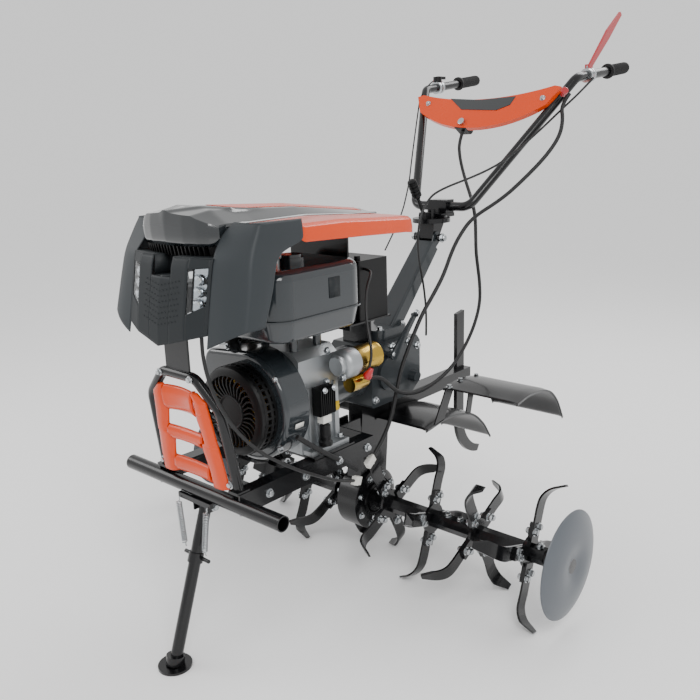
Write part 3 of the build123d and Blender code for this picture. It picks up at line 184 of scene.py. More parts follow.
MATERIALS = {
    # Sprayed and baked on steel: deep black with clear, soft-edged reflections
    "black_enamel": finish_material("gloss_black_enamel_on_steel", "#0d0d0f", 0.25, coat=0.3, dark="#08080a"),
    # Sprayed on the pressed dish: mid grey with a wide, dull shine
    "disc_grey": finish_material("grey_enamel_on_pressed_steel", "#585d63", 0.34, dark="#4e5359"),
    # Baked on the drawn tank and shroud: dark grey under a wet-looking gloss
    "grey_enamel": finish_material("dark_grey_enamel_on_steel", "#2a2f33", 0.15, coat=0.8, dark="#23282b"),
    # Sprayed over sand-cast iron: dark grey whose shine is broken by the casting
    "gearbox_grey": finish_material("grey_enamel_on_cast_iron", "#2f3437", 0.3, coat=0.3, dark="#262a2d"),
    # Moulded in a polished tool: bright orange with a smooth shine
    "orange_plastic": finish_material("gloss_orange_abs", "#dc4400", 0.25, coat=0.25, dark="#d03c00"),
    # Moulded in an etched tool: dark grey with hardly any shine
    "hood_grey": finish_material("matt_dark_grey_abs", "#1f2326", 0.55, dark="#1a1e20"),
    # Moulded in an etched tool: mid grey with a faint shine
    "wing_grey": finish_material("matt_grey_abs", "#303538", 0.5, dark="#2a2e31"),
    # Moulded in a mirror-polished tool: nearly black with sharp reflections
    "top_plate_grey": finish_material("gloss_dark_grey_abs", "#1b1f22", 0.12, coat=0.8, dark="#161a1c"),
    # Moulded and left as it comes: flat black with a grey sheen
    "black_plastic": finish_material("matt_black_plastic", "#0c0c0d", 0.4, dark="#080809"),
    # Polished clear moulding: pale with a sharp shine
    "lamp_lens": finish_material("clear_lamp_lens", "#c9d0d4", 0.1, coat=1.0),
    # Pressure-cast and left bare: light grey metal with a broad, cloudy shine
    "cast_aluminium": finish_material("die_cast_aluminium", "#b4b7b9", 0.4, metallic=0.85, dark="#8f9294"),
    # Plated and passivated: golden metal with a bright shine
    "yellow_zinc": finish_material("yellow_passivated_zinc", "#c9a94e", 0.22, metallic=1.0, dark="#a9873b"),
    # Plated wire and fasteners: silvery metal with a bright shine
    "zinc_wire": finish_material("bright_zinc_plate", "#c4c7c9", 0.25, metallic=1.0, dark="#a9acae"),
    # Rolled sheet browned by heat: dull warm grey metal
    "muffler_steel": finish_material("heat_dulled_steel", "#5f5b57", 0.5, metallic=0.9, dark="#4a4643"),
    # Moulded rubber: dark and dry, with almost no shine
    "grip_rubber": finish_material("ribbed_black_rubber", "#161617", 0.7, dark="#101011"),
    # Dipped vinyl: strong red with a thick, wet-looking skin
    "red_lever": finish_material("red_vinyl_coat", "#b5121f", 0.3, coat=0.4, dark="#9e0f1a"),
    # Extruded sheath: black with a soft line of light along it
    "cable_black": finish_material("black_cable_sheath", "#121213", 0.42, dark="#0b0b0c"),
    # Metal film on a moulding: mirror-bright, nearly white
    "lamp_chrome": finish_material("vacuum_plated_reflector", "#d8dbde", 0.12, metallic=1.0, dark="#c6c9cc"),
    # Unlit light chip: matt white
    "lamp_chip": finish_material("white_light_chip", "#f4f4ee", 0.3, dark="#ecebdd"),
    # Clear cover over the lamps: see-through with a sharp shine
    "lamp_glass": finish_material("clear_lamp_glass", "#f2f5f7", 0.04, coat=0.3),
    # Extruded and ribbed conduit: black rings with a dull shine
    "ribbed_conduit": finish_material("ribbed_black_conduit", "#151516", 0.5, dark="#0e0e0f"),
    # Printed card left blank: flat yellow
    "yellow_tag": finish_material("yellow_card_tag", "#d9b300", 0.5, dark="#c9a400"),
    # Moulded nylon: milky white with a soft shine
    "white_nylon": finish_material("white_nylon_connector", "#e3e2dc", 0.45, dark="#d6d4cc"),
}
CLEAR = MATERIALS["lamp_glass"].node_tree.nodes["Principled BSDF"]
CLEAR.inputs["Transmission Weight"].default_value = 1.0
CLEAR.inputs["IOR"].default_value = 1.1

# Moulded and painted skins that reflect less of the white room than a bare dielectric does
DULL_SKINS = ("orange_plastic", "black_enamel", "grey_enamel", "gearbox_grey", "hood_grey", "wing_grey",
              "black_plastic")
DULL_SPECULAR = 0.3
for skin_name in DULL_SKINS:
    dull = MATERIALS[skin_name].node_tree.nodes["Principled BSDF"]
    dull.inputs["Specular IOR Level"].default_value = DULL_SPECULAR

for part in frame["record"]["subparts"]:
    node_mesh = frame["nodes"][part["node"]].data
    node_mesh.materials.clear()
    node_mesh.materials.append(MATERIALS[part["material_slot"]])


def near_axle(points):
    """Turn millimetres from the axle into the frame's metres."""
    return (np.asarray(points, float) + AXLE) / 1000


def ring(count):
    """Even angles round a circle, the first not repeated."""
    return np.linspace(0, 2 * np.pi, count, endpoint=False)


def unit(vectors):
    """Scale vectors to length one."""
    vectors = np.asarray(vectors, float)
    return vectors / np.linalg.norm(vectors, axis=-1, keepdims=True)


def side_axes(along):
    """Two directions square to each given direction, as arrays of the same shape."""
    along = unit(along)
    helper = np.where(np.abs(along[..., :1]) < 0.9, (1.0, 0.0, 0.0), (0.0, 1.0, 0.0))
    first = unit(np.cross(along, helper))
    return first, np.cross(along, first)


def sheet(x, y, z):
    """Points from three coordinates, each a number or an array that spreads over rows and columns."""
    return np.stack(np.broadcast_arrays(x, y, z), -1).astype(float)


def table(rows):
    """Columns of a small table, as arrays."""
    return np.array(rows, float).T


def capped(sections):
    """Rows of section corners, with each end closed on its middle point."""
    middle = sections.mean(-2, keepdims=True).repeat(sections.shape[-2], -2)
    return np.concatenate((middle[..., :1, :, :], sections, middle[..., -1:, :, :]), -3)


def grid_faces(rows, columns, copies=1, round_columns=False):
    """Quads of copies of one grid, whose last column may join its first."""
    index = np.arange(rows * columns).reshape(rows, columns)
    if round_columns:
        index = np.hstack((index, index[:, :1]))
    quads = np.stack((index[:-1, :-1], index[:-1, 1:], index[1:, 1:], index[1:, :-1]), -1).reshape(-1, 4)
    return (quads[None] + np.arange(copies)[:, None, None] * rows * columns).reshape(-1, 4)


# Points closer than this, in metres, are one: for closed pieces, and for panels joined from patches
PIECE_GAP = 1e-6
PANEL_GAP = 2e-5


def join_mesh(name, points, faces, material, crease, gap, outwards):
    """Make an object from points in millimetres: doubles merged, faces outwards if asked, edges creased."""
    mesh = bpy.data.meshes.new(name)
    mesh.from_pydata(near_axle(points), [], faces.tolist())
    shape = bmesh.new()
    shape.from_mesh(mesh)
    bmesh.ops.remove_doubles(shape, verts=shape.verts, dist=gap)
    if outwards:
        bmesh.ops.recalc_face_normals(shape, faces=shape.faces)
    shape.to_mesh(mesh)
    shape.free()
    mesh.polygons.foreach_set("use_smooth", np.ones(len(mesh.polygons), bool))
    mesh.set_sharp_from_angle(angle=radians(crease))
    mesh.materials.append(MATERIALS[material])
    piece = bpy.data.objects.new(name, mesh)
    bpy.context.scene.collection.objects.link(piece)
    return piece


def add_piece(name, points, faces, material, body, crease=35):
    """Make a closed piece and put it on its body, when one is given."""
    piece = join_mesh(name, np.asarray(points).reshape(-1, 3), faces, material, crease, PIECE_GAP, True)
    if body:
        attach(piece, body)
    return piece


HOOD_INSIDE = np.array((0.0, -420.0, 780.0))


def add_panel(name, grids, material, wall=3.0, inside=HOOD_INSIDE, crease=35):
    """A moulded panel: grids of points facing away from an inner place, given its wall by Solidify."""
    points, faces, start = [], [], 0
    for grid in grids:
        rows, columns = grid.shape[:2]
        quads = grid_faces(rows, columns)
        corners = grid.reshape(-1, 3)[quads]
        normal = np.cross(corners[:, 2] - corners[:, 0], corners[:, 3] - corners[:, 1])
        if (normal * (corners.mean(1) - inside)).sum() < 0:
            quads = quads[:, ::-1]
        points.append(grid.reshape(-1, 3))
        faces.append(quads + start)
        start += rows * columns
    piece = join_mesh(name, np.concatenate(points), np.concatenate(faces), material, crease, PANEL_GAP, False)
    skin = piece.modifiers.new("wall", "SOLIDIFY")
    skin.thickness = wall / 1000
    skin.offset = -1
    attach(piece, "chassis")
    return piece


def turned(name, profile, at, along, material, body, sides=48, crease=35, hexagon=()):
    """Profile of (radius, height) turned round an axis; rows named in hexagon take a hexagon's radius.

    Point = at + height * along + radius * (cos turn * first side + sin turn * second side).
    Several places in at and along give as many copies in one piece.
    """
    at, along = np.atleast_2d(at).astype(float), np.atleast_2d(along).astype(float)
    at, along = np.broadcast_arrays(at, along)
    first, second = side_axes(along)
    profile = np.asarray(profile, float)
    turn = ring(sides)
    radius = np.repeat(profile[:, :1], sides, 1)
    flats = 1 / np.cos((turn + np.pi / 6) % (np.pi / 3) - np.pi / 6)
    for row in hexagon:
        radius[row] *= flats
    circle = (np.cos(turn)[None, :, None] * first[:, None, None]
              + np.sin(turn)[None, :, None] * second[:, None, None])
    points = (at[:, None, None] + unit(along)[:, None, None] * profile[None, :, 1, None, None]
              + circle * radius[None, :, :, None])
    faces = grid_faces(len(profile), sides, len(at), round_columns=True)
    return add_piece(name, points, faces, material, body, crease)


BOLT_SIDES = 24
BOLT_CREASE = 25
TUBE_CREASE = 60


def bolts(name, at, along, size, body="chassis"):
    """Hexagon-headed bolts of a wrench size: a flat washer, six flats, a chamfer and a shallow crown."""
    half = size / 2
    washer = [(0, 0), (0.8 * size, 0), (0.8 * size, 0.12 * size)]
    head = [(half, 0.12 * size), (half, 0.62 * size), (0.9 * half, 0.7 * size), (0, 0.72 * size)]
    flats = (len(washer), len(washer) + 1)
    return turned(name, washer + head, at, along, "zinc_wire", body, BOLT_SIDES, BOLT_CREASE, flats)


def tube(name, path, radius, material, body, sides, helper):
    """Round section carried along a path: point = path + radius * (cos turn * side + sin turn * over).

    Radius is one number or one for each point of the path, and both ends are closed.
    """
    path = np.asarray(path, float)
    along = unit(np.gradient(path, axis=0))
    side = unit(np.cross(along, helper))
    over = np.cross(side, along)
    turn = ring(sides)
    radius = np.broadcast_to(np.asarray(radius, float), len(path))
    points = (path[:, None] + radius[:, None, None] * (np.cos(turn)[:, None] * side[:, None]
                                                       + np.sin(turn)[:, None] * over[:, None]))
    ends = np.repeat(path[[0, -1], None], sides, 1)
    points = np.concatenate((ends[:1], points, ends[1:]))
    faces = grid_faces(len(points), sides, round_columns=True)
    return add_piece(name, points, faces, material, body, TUBE_CREASE)


def coil(start, end, radius, turns, per_turn):
    """Points of a helix between two places: angle and height grow evenly along it."""
    start, end = np.asarray(start, float), np.asarray(end, float)
    first, second = side_axes(end - start)
    share = np.linspace(0, 1, int(turns * per_turn) + 1)
    turn = share * turns * 2 * np.pi
    return (start + (end - start) * share[:, None]
            + radius * (np.cos(turn)[:, None] * first + np.sin(turn)[:, None] * second))


# Cables: diameter and route in millimetres; upper ones span the bar's swivel, lower ones its tilt
CABLES = {
    "clutch_cable_upper": (7, (
        (326.3, 828, 1284.6), (316, 764, 1242), (289, 690, 1188), (256, 610, 1124), (222, 524, 1062),
        (176, 438, 1004), (118, 350, 972))),
    "clutch_cable_lower": (7, (
        (118, 350, 972), (77, 288, 949.4), (70, 240, 916), (66, 212, 868), (63, 204, 810), (61, 212, 740),
        (58, 236, 676), (57, 250, 612), (56, 258, 545), (54, 258, 486))),
    "switch_loom_upper": (13, (
        (301.6, 711.3, 1234.1), (288, 682, 1199.6), (306, 664, 1153), (312, 632, 1100), (300, 562, 1038),
        (264, 486, 970), (222, 436, 916), (178, 410, 884))),
    "switch_loom_lower": (13, (
        (178, 410, 884), (143, 389.3, 858.5), (128, 346, 812), (122, 306, 762), (124, 258, 692),
        (132, 190, 640), (136, 122, 588), (136, 66, 514), (134, 22, 446), (136, -8, 372), (140, -40, 300),
        (146, -92, 246), (150, -140, 216))),
    "key_loom_upper": (12, (
        (-50, 623.5, 1127.9), (-50, 599.5, 1090.3), (-44, 596, 1044), (-35, 600, 1000), (-12, 588, 958),
        (24, 556, 922), (66, 508, 900), (100, 466, 874))),
    "key_loom_lower": (12, (
        (100, 466, 874), (125.5, 434.5, 854.5), (138, 418, 806), (136, 424, 744), (130, 446, 690),
        (128, 462, 634), (130, 462, 568), (134, 424, 500), (134, 366, 436), (136, 300, 392), (140, 222, 366),
        (147, 140, 357), (153, 84, 357), (154, 36, 364), (154, -14, 380), (154, -50, 406), (156, -84, 436),
        (159, -122, 458), (159, -163.7, 463))),
    "headlamp_lead": (9, (
        (112, -690, 737.7), (112, -690, 690), (120, -698, 634), (140, -696, 562), (166, -670, 476),
        (184, -606, 392), (186, -506, 318), (184, -412, 262), (178, -318, 210), (160, -236, 178))),
    "throttle_cable_upper": (5, (
        (-296, 790, 1316), (-296, 715, 1278), (-288, 681, 1190), (-250, 608, 1100), (-200, 522, 1019),
        (-160, 456, 954), (-130, 388, 891))),
    "throttle_cable_lower": (5, (
        (-130, 388, 891), (-118, 357, 864), (-110, 328, 840), (-95, 275, 800), (-80, 219, 761))),
    "lower_loom": (14, (
        (165, -455, 379), (170, -397, 331), (168, -319, 277), (163, -262, 236), (160, -222, 206))),
    "battery_lead": (8, (
        (75.3, -70, 752), (104, -74, 751), (122, -96, 742), (132, -126, 716), (146, -150, 672),
        (168, -172, 618), (194, -186, 566), (200, -196, 518), (182.4, -204.3, 475))),
}

# Bodies that a cable leaves and ends on, and the places between which it would bend from one to the other;
# only a cable's name is read here, and that cable is laid on no body
BENDS = {
    "clutch_cable_upper": ("handlebar", "head", (289, 690, 1188), (118, 350, 972)),
    "clutch_cable_lower": ("head", "chassis", (118, 350, 972), (61, 212, 740)),
    "switch_loom_upper": ("handlebar", "head", (312, 632, 1100), (178, 410, 884)),
    "switch_loom_lower": ("head", "chassis", (178, 410, 884), (124, 258, 692)),
    "throttle_cable_upper": ("handlebar", "head", (-296, 715, 1278), (-130, 388, 891)),
    "throttle_cable_lower": ("head", "chassis", (-130, 388, 891), (-80, 219, 761)),
    "key_loom_upper": ("handlebar", "head", (-44, 596, 1044), (100, 466, 874)),
    "key_loom_lower": ("head", "chassis", (100, 466, 874), (130, 446, 690)),
}

# Conduit's rib spacing and depth, and the step of a plain sheath, in millimetres
CONDUIT_PITCH = 3.2
CONDUIT_DEPTH = 0.9
SHEATH_STEP = 4.0
LEAST_STEPS = 8
CURVE_STEPS = 12
CABLE_SIDES = 12

# Connectors: the loom's last run, and half width, half depth and place along it of each section
PLUG_ENDS = {"switch_loom_lower": ((146, -92, 246), (150, -140, 216)),
             "headlamp_lead": ((178, -318, 210), (160, -236, 178))}
PLUG_WIDE, PLUG_DEEP, PLUG_ALONG = table(((0, 0, -2), (12, 7, -2), (12, 7, 12), (13, 8, 12), (13, 8, 16),
                                          (12, 7, 16), (12, 7, 34), (0, 0, 34)))


def centreline(name, points):
    """Points read along the NURBS line of order three through a route, in metres, and its length."""
    data = bpy.data.curves.new(name, "CURVE")
    data.dimensions = "3D"
    data.resolution_u = CURVE_STEPS
    line = data.splines.new("NURBS")
    line.points.add(len(points) - 1)
    line.points.foreach_set("co", np.column_stack((near_axle(points), np.ones(len(points)))).ravel())
    line.order_u = 3
    line.use_endpoint_u = True
    line.resolution_u = CURVE_STEPS
    curve = bpy.data.objects.new(name, data)
    bpy.context.scene.collection.objects.link(curve)
    mesh = bpy.data.meshes.new_from_object(curve.evaluated_get(bpy.context.evaluated_depsgraph_get()))
    places = np.empty(3 * len(mesh.vertices))
    mesh.vertices.foreach_get("co", places)
    places = places.reshape(-1, 3)
    bpy.data.objects.remove(curve)
    bpy.data.curves.remove(data)
    bpy.data.meshes.remove(mesh)
    return places, float(np.linalg.norm(np.diff(places, axis=0), axis=1).sum())


def even_steps(line, step):
    """Points at even steps along a line of points, and how far along it each lies."""
    walked = np.concatenate(([0], np.cumsum(np.linalg.norm(np.diff(line, axis=0), axis=1))))
    places = np.linspace(0, walked[-1], max(int(walked[-1] / step), LEAST_STEPS))
    return np.stack([np.interp(places, walked, line[:, axis]) for axis in range(3)], 1), places


def add_plug(name, near, end):
    """White connector on a loom's end: a box section with a waist, carried along the loom's last run."""
    along = unit(np.subtract(end, near))
    first, second = side_axes(along)
    wide = PLUG_WIDE[:, None] * (1, -1, -1, 1)
    deep = PLUG_DEEP[:, None] * (1, 1, -1, -1)
    points = end + along * PLUG_ALONG[:, None, None] + first * wide[..., None] + second * deep[..., None]
    faces = grid_faces(*wide.shape, round_columns=True)
    return add_piece(name + "_plug", points, faces, "white_nylon", "chassis", 20)


def lay_cable(name, diameter, points):
    """A cable on its route: plain sheath, or for a loom a ribbed conduit whose radius waves along it."""
    line, length = centreline(name, points)
    ribbed = "loom" in name
    steps, walked = even_steps(line * 1000 - AXLE, CONDUIT_PITCH / 4 if ribbed else SHEATH_STEP)
    radius = diameter / 2 * np.ones(len(steps))
    if ribbed:
        radius -= CONDUIT_DEPTH * (0.5 + 0.5 * np.cos(walked * 2 * np.pi / CONDUIT_PITCH))
    bends = name in BENDS
    helper = (0.0, 1.0, 0.0) if name == "battery_lead" else (1.0, 0.0, 0.0)
    sheath, body = "ribbed_conduit" if ribbed else "cable_black", None if bends else "chassis"
    cable = tube(name, steps, radius, sheath, body, CABLE_SIDES, helper)
    if bends:
        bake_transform(cable)
    plugs = [add_plug(name, *PLUG_ENDS[name])] if name in PLUG_ENDS else []


for cable_name, (cable_diameter, cable_route) in CABLES.items():
    lay_cable(cable_name, cable_diameter, cable_route)


def smooth_grid(points, passes):
    """Round a grid's inner rows, then its columns: a point counts twice in a mean with its two neighbours."""
    points = np.array(points, float)
    for _ in range(passes):
        points[1:-1] = (points[:-2] + 2 * points[1:-1] + points[2:]) / 4
        points[:, 1:-1] = (points[:, :-2] + 2 * points[:, 1:-1] + points[:, 2:]) / 4
    return points


def mirrored(grids):
    """The grids and their mirror images across the machine's centreline."""
    return list(grids) + [grid * (-1, 1, 1) for grid in grids]


BOTH_SIDES = ((1, "left"), (-1, "right"))

# Hood's nose: plan half-outline at four levels, its hem and rim, and the openings for lamps and notch
NOSE_Z = np.array((650.0, 715.0, 843.0, 864.0))
NOSE_X = np.array(((0, 88, 150, 158), (0, 88, 150, 160), (0, 88, 148, 158), (0, 88, 147, 157)), float)
NOSE_Y = np.array(((-734, -728, -713, -600), (-728, -722, -700, -600), (-706, -700, -677, -600),
                   (-697, -692, -671, -600)), float)
NOSE_HALF, NOSE_REAR = 150.0, -600.0
HEM_LOW, HEM_RISE = 655.0, 51.0 / 200.0
RIM_Z = 864.0
NOTCH_HALF, NOTCH_LOW, NOTCH_DEEP = 37.0, 818.0, -655.0
LAMP_X = (92.0, 142.0)
LAMP_COUNT = (10, 18)


def nose_front(x, z):
    """Depth of the nose's front at a place across and a height: level outlines joined in straight lines."""
    depth = np.stack([np.interp(np.abs(x), NOSE_X[k, :3], NOSE_Y[k, :3]) for k in range(4)])
    place = np.clip(np.interp(z, NOSE_Z, np.arange(4.0)), 0, 3)
    low = np.minimum(place.astype(int), 2)
    under = np.take_along_axis(depth, low[None], 0)[0]
    over = np.take_along_axis(depth, low[None] + 1, 0)[0]
    return under + (over - under) * (place - low)


def hem(x):
    """Height of the nose's hem, rising evenly from the middle."""
    return HEM_LOW + HEM_RISE * np.abs(x)


def rim(x):
    """Height of the nose's level rim."""
    return RIM_Z + 0 * x


def notch_floor(x):
    """Height of the notch's level floor."""
    return NOTCH_LOW + 0 * x


def lamp_low(x):
    """Height of a lamp's lower edge, rising evenly outwards."""
    return 737.0 + 23.0 * (np.abs(x) - LAMP_X[0]) / 50


def lamp_high(x):
    """Height of a lamp's upper edge, rising evenly outwards."""
    return 838.0 + 5.0 * (np.abs(x) - LAMP_X[0]) / 52


def front_patch(x0, x1, low, high, back=0.0, count=(14, 24)):
    """Grid on the nose's front between two sides and two heights, which are functions of the place across."""
    across = np.linspace(x0, x1, count[0])[None] * np.ones((count[1], 1))
    share = np.linspace(0, 1, count[1])[:, None]
    z = low(across) * (1 - share) + high(across) * share
    return sheet(across, nose_front(across, z) + back, z)


def nose_flank():
    """Grid of the nose's flank: straight from the front's outer edge to the rear edge at every height."""
    share = np.linspace(0, 1, 24)[:, None]
    z = hem(NOSE_HALF) + (RIM_Z - hem(NOSE_HALF)) * share
    along = np.linspace(0, 1, 8)[None]
    x = np.interp(z, NOSE_Z, NOSE_X[:, 2]) * (1 - along) + np.interp(z, NOSE_Z, NOSE_X[:, 3]) * along
    y = np.interp(z, NOSE_Z, NOSE_Y[:, 2]) * (1 - along) + NOSE_REAR * along
    return sheet(x, y, z)


def make_nose():
    """Hood's nose: front patches round the openings, flanks, and the notch's walls with the ledge above."""
    nose = add_panel("hood_nose_shell", mirrored([
        front_patch(0, NOTCH_HALF, hem, notch_floor), front_patch(NOTCH_HALF, LAMP_X[0], hem, rim),
        front_patch(*LAMP_X, hem, lamp_low), front_patch(*LAMP_X, lamp_high, rim, count=(14, 6)),
        front_patch(LAMP_X[1], NOSE_HALF, hem, rim, count=(4, 24)), nose_flank()]), "hood_grey")
    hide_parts("hood_nose")
    across = np.array((0, NOTCH_HALF))
    upward = np.array((NOTCH_LOW, RIM_Z))[:, None]
    mouth = -698.0 - (NOTCH_LOW - upward) * 0.1
    notch_back = sheet(across, NOTCH_DEEP, upward)
    notch_side = sheet(NOTCH_HALF, np.hstack((mouth, np.full((2, 1), NOTCH_DEEP))), upward)
    notch_base = sheet(across, np.array((-703.0, NOTCH_DEEP))[:, None], NOTCH_LOW)
    ledge_x = np.linspace(NOTCH_HALF, NOSE_HALF, 12)
    ledge_front = nose_front(np.linspace(NOTCH_HALF, NOSE_X[3, 2], 12), np.full(12, RIM_Z))
    ledge = sheet(ledge_x, np.stack((ledge_front, np.full(12, -640.0))), RIM_Z)
    recess = mirrored([notch_back, notch_side, notch_base, ledge])
    add_panel("hood_nose_recess", recess, "hood_grey", wall=1.5)


DASH_PITCH, DASH_RISE, DASH_LOW, DASH_SLOPE = 12.0, 13.0, 706.0, 0.22


def make_dashes():
    """Rows of short embossed dashes between the lamps: low flat-topped blocks, every other row offset."""
    rows, columns = np.mgrid[0:8, -5:6]
    x = (columns * DASH_PITCH + (rows % 2) * DASH_PITCH / 2).ravel()
    z = DASH_LOW + rows.ravel() * DASH_RISE + np.abs(x) * DASH_SLOPE
    at = np.stack((x, nose_front(x, z) - 0.1, z), -1)
    dash = np.array([[(-3.2, 0, -1.4), (3.2, 0, -1.4), (3.2, 0, 1.4), (-3.2, 0, 1.4)],
                     [(-2.4, -1.4, -0.7), (2.4, -1.4, -0.7), (2.4, -1.4, 0.7), (-2.4, -1.4, 0.7)],
                     [(0, -1.4, 0)] * 4], float)
    faces = grid_faces(3, 4, len(at), round_columns=True)
    add_piece("nose_embossed_dashes", at[:, None, None] + dash[None], faces, "hood_grey", "chassis", 20)


# Lamp bowls: place across and heights, axis, and the profiles of bowl and chip
BOWL_X, BOWL_Z = 113.0, np.array((762.0, 789.0, 816.0))
BOWL_AXIS = (0, 1, 0.1)
BOWL_ROWS = ((13.5, -7), (12, -5), (8, -1.5), (4, 0), (0, 0))
CHIP_ROWS = ((0, -4.5), (3.2, -4), (3.6, -1), (3.6, 0))


def make_headlamps():
    """Headlamps: bright housing, three bowl reflectors with a pale chip each, and the clear lens."""
    for side, word in BOTH_SIDES:
        housing = front_patch(*LAMP_X, lamp_low, lamp_high, 16.0, LAMP_COUNT) * (side, 1, 1)
        add_panel("lamp_housing_" + word, [housing], "lamp_chrome", wall=1.0)
        lens = front_patch(*LAMP_X, lamp_low, lamp_high, 0.8, LAMP_COUNT) * (side, 1, 1)
        glass = add_panel("lamp_lens_" + word, [lens], "lamp_glass", wall=1.5)
        bowl_y = nose_front(np.full(3, BOWL_X + 12), BOWL_Z) + 11.0
        bowls = sheet(side * BOWL_X, bowl_y, BOWL_Z)
        turned("lamp_reflectors_" + word, BOWL_ROWS, bowls, BOWL_AXIS, "lamp_chrome", "chassis", 32)
        turned("lamp_chips_" + word, CHIP_ROWS, bowls, BOWL_AXIS, "lamp_chip", "chassis", 16)
        if side > 0:
            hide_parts("headlamps")


# Top plate: half width, edge and crown heights along the machine, and the lip's plan curve ahead
TOP_Y, TOP_HALF, TOP_EDGE, TOP_CROWN = table((
    (-700, 139, 929, 960), (-614, 134, 935, 972), (-510, 112, 932, 966), (-310, 82, 929, 954),
    (4, 62, 908, 916)))
LIP_X, LIP_Y = table(((0, -684), (60, -679), (100, -670), (125, -657), (139, -636)))
LIP_HALF, LIP_LOW = 139.0, 886.0
FOLD_AT, FOLD_DROP = 0.6, 8.0
RIM_Y, RIM_LOW = table(((-600, LIP_LOW), (-540, 921), (4, 902)))
STRIP_Y, STRIP_WIDE = table(((-560, 0.05), (-500, 1), (-20, 0.9)))


def make_top_plate():
    """Top plate: crowned across with a fold on each side and a beak ridge ahead, its rim turned down."""
    u = np.linspace(-1, 1, 61)[None]
    v = np.linspace(0, 1, 80)[:, None]
    y = np.interp(np.abs(u) * LIP_HALF, LIP_X, LIP_Y) * (1 - v) + TOP_Y[-1] * v
    half = np.interp(y, TOP_Y, TOP_HALF)
    crown, edge = np.interp(y, TOP_Y, TOP_CROWN), np.interp(y, TOP_Y, TOP_EDGE)
    fold = np.where(np.abs(u) < FOLD_AT, crown - FOLD_DROP * np.abs(u) / FOLD_AT,
                    crown - FOLD_DROP + (edge - crown + FOLD_DROP) * (np.abs(u) - FOLD_AT) / (1 - FOLD_AT))
    ridge_at = 0.62 * np.clip((y + 690) / 150, 0, 1)
    beak = 5.0 * np.exp(-((np.abs(u) - ridge_at) / 0.07) ** 2) * np.clip((-420 - y) / 120, 0, 1)
    plate = np.stack((u * half, y, fold + beak), -1)
    edge_line = np.concatenate((plate[::-1, 0], plate[0], plate[:, -1]))
    ahead = edge_line[:, 1] < -600
    low = np.where(ahead, LIP_LOW, np.interp(edge_line[:, 1], RIM_Y, RIM_LOW))
    drop = np.linspace(0, 1, 7)[:, None]
    swell = np.array((0, 2.5, 3.5, 3.5, 3.0, 1.5, -2.0))[:, None]
    out = unit(sheet(edge_line[:, 0] / LIP_HALF, np.where(ahead, edge_line[:, 1] + 560, 0) / 120, 0.0))
    band = np.stack([edge_line[:, k][None] + out[:, k][None] * swell for k in range(2)]
                    + [edge_line[:, 2][None] * (1 - drop) + low[None] * drop], -1)
    top = add_panel("hood_top_plate", [plate, band], "top_plate_grey", crease=28)
    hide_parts("hood_top")


def make_strip():
    """Orange strip along the top plate's crown, tapering ahead: the plate's own height, a little raised."""
    u = np.linspace(-0.5, 0.5, 13)[None]
    y = np.linspace(STRIP_Y[0], STRIP_Y[-1], 50)[:, None]
    wide = np.interp(y, STRIP_Y, STRIP_WIDE)
    z = np.interp(y, TOP_Y, TOP_CROWN) - FOLD_DROP * np.abs(u) * wide / FOLD_AT + 0.8
    strip = sheet(u * np.interp(y, TOP_Y, TOP_HALF) * wide, y, z)
    add_panel("top_plate_strip", [strip], "orange_plastic", wall=0.6)


SLAT_PITCH, SLAT_LOW, SLAT_HIGH = 13.0, 862.0, 892.0


def make_intake():
    """Slatted intake under the lip: slats leaning ahead on the lip's curve, and a back behind them."""
    slat_x = np.arange(-9, 10) * SLAT_PITCH
    slat_y = np.interp(np.abs(slat_x), LIP_X, LIP_Y) + 12
    slats = np.zeros((len(slat_x), 2, 4, 3))
    slat_at = np.stack((slat_x, slat_y), -1)
    slats[..., :2] = np.array(((-2, 0), (2, 0), (2, 30), (-2, 30))) + slat_at[:, None, None]
    slats[:, 0, :, 2], slats[:, 1, :, 2] = SLAT_LOW, SLAT_HIGH
    slats[:, 1, :, 1] -= 6
    faces = grid_faces(2, 4, len(slats), round_columns=True)
    add_piece("intake_slats", slats, faces, "black_plastic", "chassis", 20)
    x = np.linspace(-142, 142, 31)
    back = sheet(x, np.interp(np.abs(x), LIP_X, LIP_Y) + 30, np.array((860.0, 905.0))[:, None])
    add_panel("intake_back", [back], "black_plastic", wall=1.5)


# Wings: the wheel arch's edge, and the front face's inner and outer edges, by height
ARCH_Z, ARCH_Y = table(((700, -622), (719, -615), (783, -589), (850, -566), (877, -536), (883, -472),
                        (940, -468)))
WING_Z = np.array((655.0, 712.0, 793.0, 843.0, 864.0, 886.0, 915.0, 938.0))
WING_IN_X = np.array((152.5, 151.5, 150.5, 149.5, 148.5, 140.0, 142.0, 146.0))
WING_IN_Y = np.array((-711, -700, -685, -675, -669, -652, -632, -600.0))
WING_OUT_X = np.array((254, 252, 249, 244, 241, 238, 235, 230.0))
WING_OUT_Y = np.array((-688, -676, -656, -645, -638, -628, -612, -600.0))
WING_TOP = 938.0
SEAM_SLOPE, SEAM_Y = 80.0 / 145.0, -552.5


def seam(x):
    """Depth of the slanting seam between a wing and the roof at a place across."""
    return SEAM_Y + (x - 100) * SEAM_SLOPE


